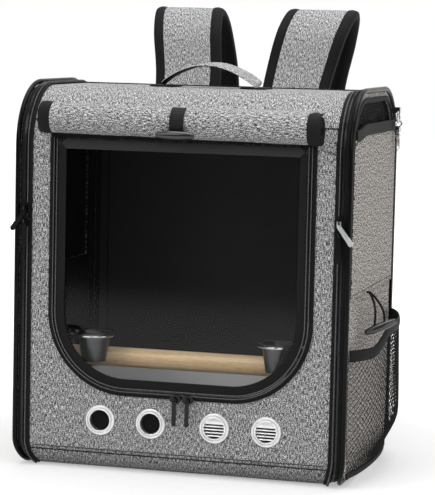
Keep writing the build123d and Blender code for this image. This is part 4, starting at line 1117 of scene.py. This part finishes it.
def yoke_place(u, v):
    """Stiffened patch over the rear arch, drawn in along its hem."""
    x, s = YOKE_X0 + (YOKE_X1 - YOKE_X0) * u, S_YOKE0 + (S_YOKE1 - S_YOKE0) * v
    hem = min(x - YOKE_X0, YOKE_X1 - x, s - S_YOKE0, S_YOKE1 - s)
    return on_body(x, s, 2.5 - 1.0 * exp(-hem / 1.6) - 0.3 * exp(-((hem - 6) / 1.2) ** 2))[0]


SEWN_ON = (2.2, [HEATHER_STRAP], *CLOTH, ["strap_patches"])
sew("strap_yoke", (90, 40), (213, 62), yoke_place, *SEWN_ON)
for label, s in (("upper", S_YOKE0 + 6), ("lower", S_YOKE1 - 6)):
    (y, z), out = BODY.at(s, 2.3)
    stitches("yoke_stitches_" + label, *straight((-96, y, z), (106, y, z), (0, *out)), *CLOTH, BLACK_THREAD)

for side, sign in SIDES:
    def patch_place(u, v):
        """Triangle of the body's cloth with its slope towards the middle, where the webbing is sewn in."""
        inner = 112 + 26 * 0.86 * smooth(v) + 0.6
        x, z = inner + (151.5 - inner) * u, 30.4 + 33.2 * v
        hem = min(u * 20, (1 - u) * 20, v * 33, (1 - v) * 33)
        return sign * x, 109.4 - 0.9 * exp(-hem / 1.5), z

    sew("corner_patch_" + side, (24, 24), (40, 34), patch_place, *SEWN_ON)
    for row, (x, z) in enumerate(((118, 35), (135, 59))):
        seam = straight((sign * x, 109.4, z), (sign * 148, 109.4, z), (0, 1, 0))
        stitches(f"patch_stitches_{side}_{row}", *seam, *CLOTH, BLACK_THREAD)

    top, _, _, along = strap_frame(STRAPS[side], 1.0)
    end = Vector((sign * 137, 111.5, 42))

    def webbing_line(t):
        """From the padded strap through the ladder lock and down to the corner patch, a little slack."""
        point = top + along * 1 + (end - top - along) * t
        return point + Vector((0, 0.04 * (end - top).length * 4 * t * (1 - t), 0))

    def webbing_place(u, v):
        point = webbing_line(v)
        run = (webbing_line(min(v + 0.01, 1)) - webbing_line(max(v - 0.01, 0))).normalized()
        wide = (Vector((1, 0, 0)) - run * run.x).normalized()
        return point + wide * (12.5 * (2 * u - 1)) + wide.cross(run) * 0.4 * ripple(point, 24)

    sew("strap_webbing_" + side, (6, 90), (25, 210), webbing_place, 1.6, [WEBBING], "carrier",
        "black_webbing", ["strap_webbings"], away=(0, 0, 120))

# ---- back cushions ----
CUSHION_Z, CUSHION_HALF_X, CUSHION_HALF_Z = 205, 50, 93


def swell(obj, cap):
    """Blows a closed cushion up as cloth, but moves no point further than cap millimetres."""
    scene, frames = bpy.context.scene, 20
    modify(obj, "REMESH", mode="VOXEL", voxel_size=0.005)
    before = [vertex.co.copy() for vertex in obj.data.vertices]
    cloth = obj.modifiers.new("cloth", "CLOTH")
    cloth.settings.use_pressure = True
    cloth.settings.uniform_pressure_force = 4.0
    cloth.settings.effector_weights.gravity = 0
    for step in range(1, frames + 1):
        scene.frame_set(step)
    take(obj)
    bpy.ops.object.modifier_apply(modifier=cloth.name)
    scene.frame_set(1)
    for vertex, start in zip(obj.data.vertices, before):
        move = vertex.co - start
        if move.length > cap * MM:
            vertex.co = start + move * (cap * MM / move.length)


def cushion_place(u, v):
    """Half of a cushion's shell: a rounded rectangle, crowned, flat against the back."""
    across, up = circle(u)
    x = CUSHION_HALF_X * abs(across) ** 0.42 * (1 if across > 0 else -1)
    z = CUSHION_HALF_Z * abs(up) ** 0.30 * (1 if up > 0 else -1)
    share = min(v, 1 - v) / 0.5
    y = 113.4 - 1.6 * share ** 6 if v <= 0.5 else 107.7 + 1.2 * share ** 6
    return cushion_x + x * share, y, CUSHION_Z + z * share


for side, cushion_x in (("left", -62), ("right", 62)):
    cushion = lay("back_cushion_" + side, (72, 26), (104, 190), cushion_place, tube=True)
    swell(cushion, 1.6)
    modify(cushion, "SUBSURF", levels=1, render_levels=1)
    for vertex in cushion.data.vertices:
        if vertex.co.y > 0.110:
            x, z = vertex.co.x / MM - cushion_x, vertex.co.z / MM - CUSHION_Z
            channel = min(abs(z - 46), abs(z), abs(z + 46))
            hem = min(CUSHION_HALF_X - abs(x), CUSHION_HALF_Z - abs(z))
            vertex.co.y -= (2.6 * exp(-(channel / 3.2) ** 2) + 1.4 * exp(-(hem / 4) ** 2)) * MM
    settle(cushion, "carrier", [CUSHION_MESH], ["back_pad"])

# ---- finishes of the solids that stay ----
# The cups' steel is drawn dark: painted shade inside the carrier.
KEEP = {"stiffener_boards": BOARD, "hoop_frames": SPRING, "curtain_toggle": HORN, "ladder_locks": BUCKLE,
        "tray": TRAY, "perch_stands": STAND, "perch": DOWEL, "cup_rings": CHROME, "cup_right": SHADED_STEEL_CUP,
        "cup_left": SHADED_STEEL_CUP, "pocket_toggle": HORN, "leash_ring": CHROME, "snap_hook": CHROME,
        "snap_gate": CHROME}
for node, obj in cad.items():
    mat = KEEP.get(node)
    if "pull" in node or "slider" in node:
        mat = PULL_METAL if "pull_right_upper" in node else ENAMEL
    if mat:
        obj.data.materials.clear()
        obj.data.materials.append(mat)
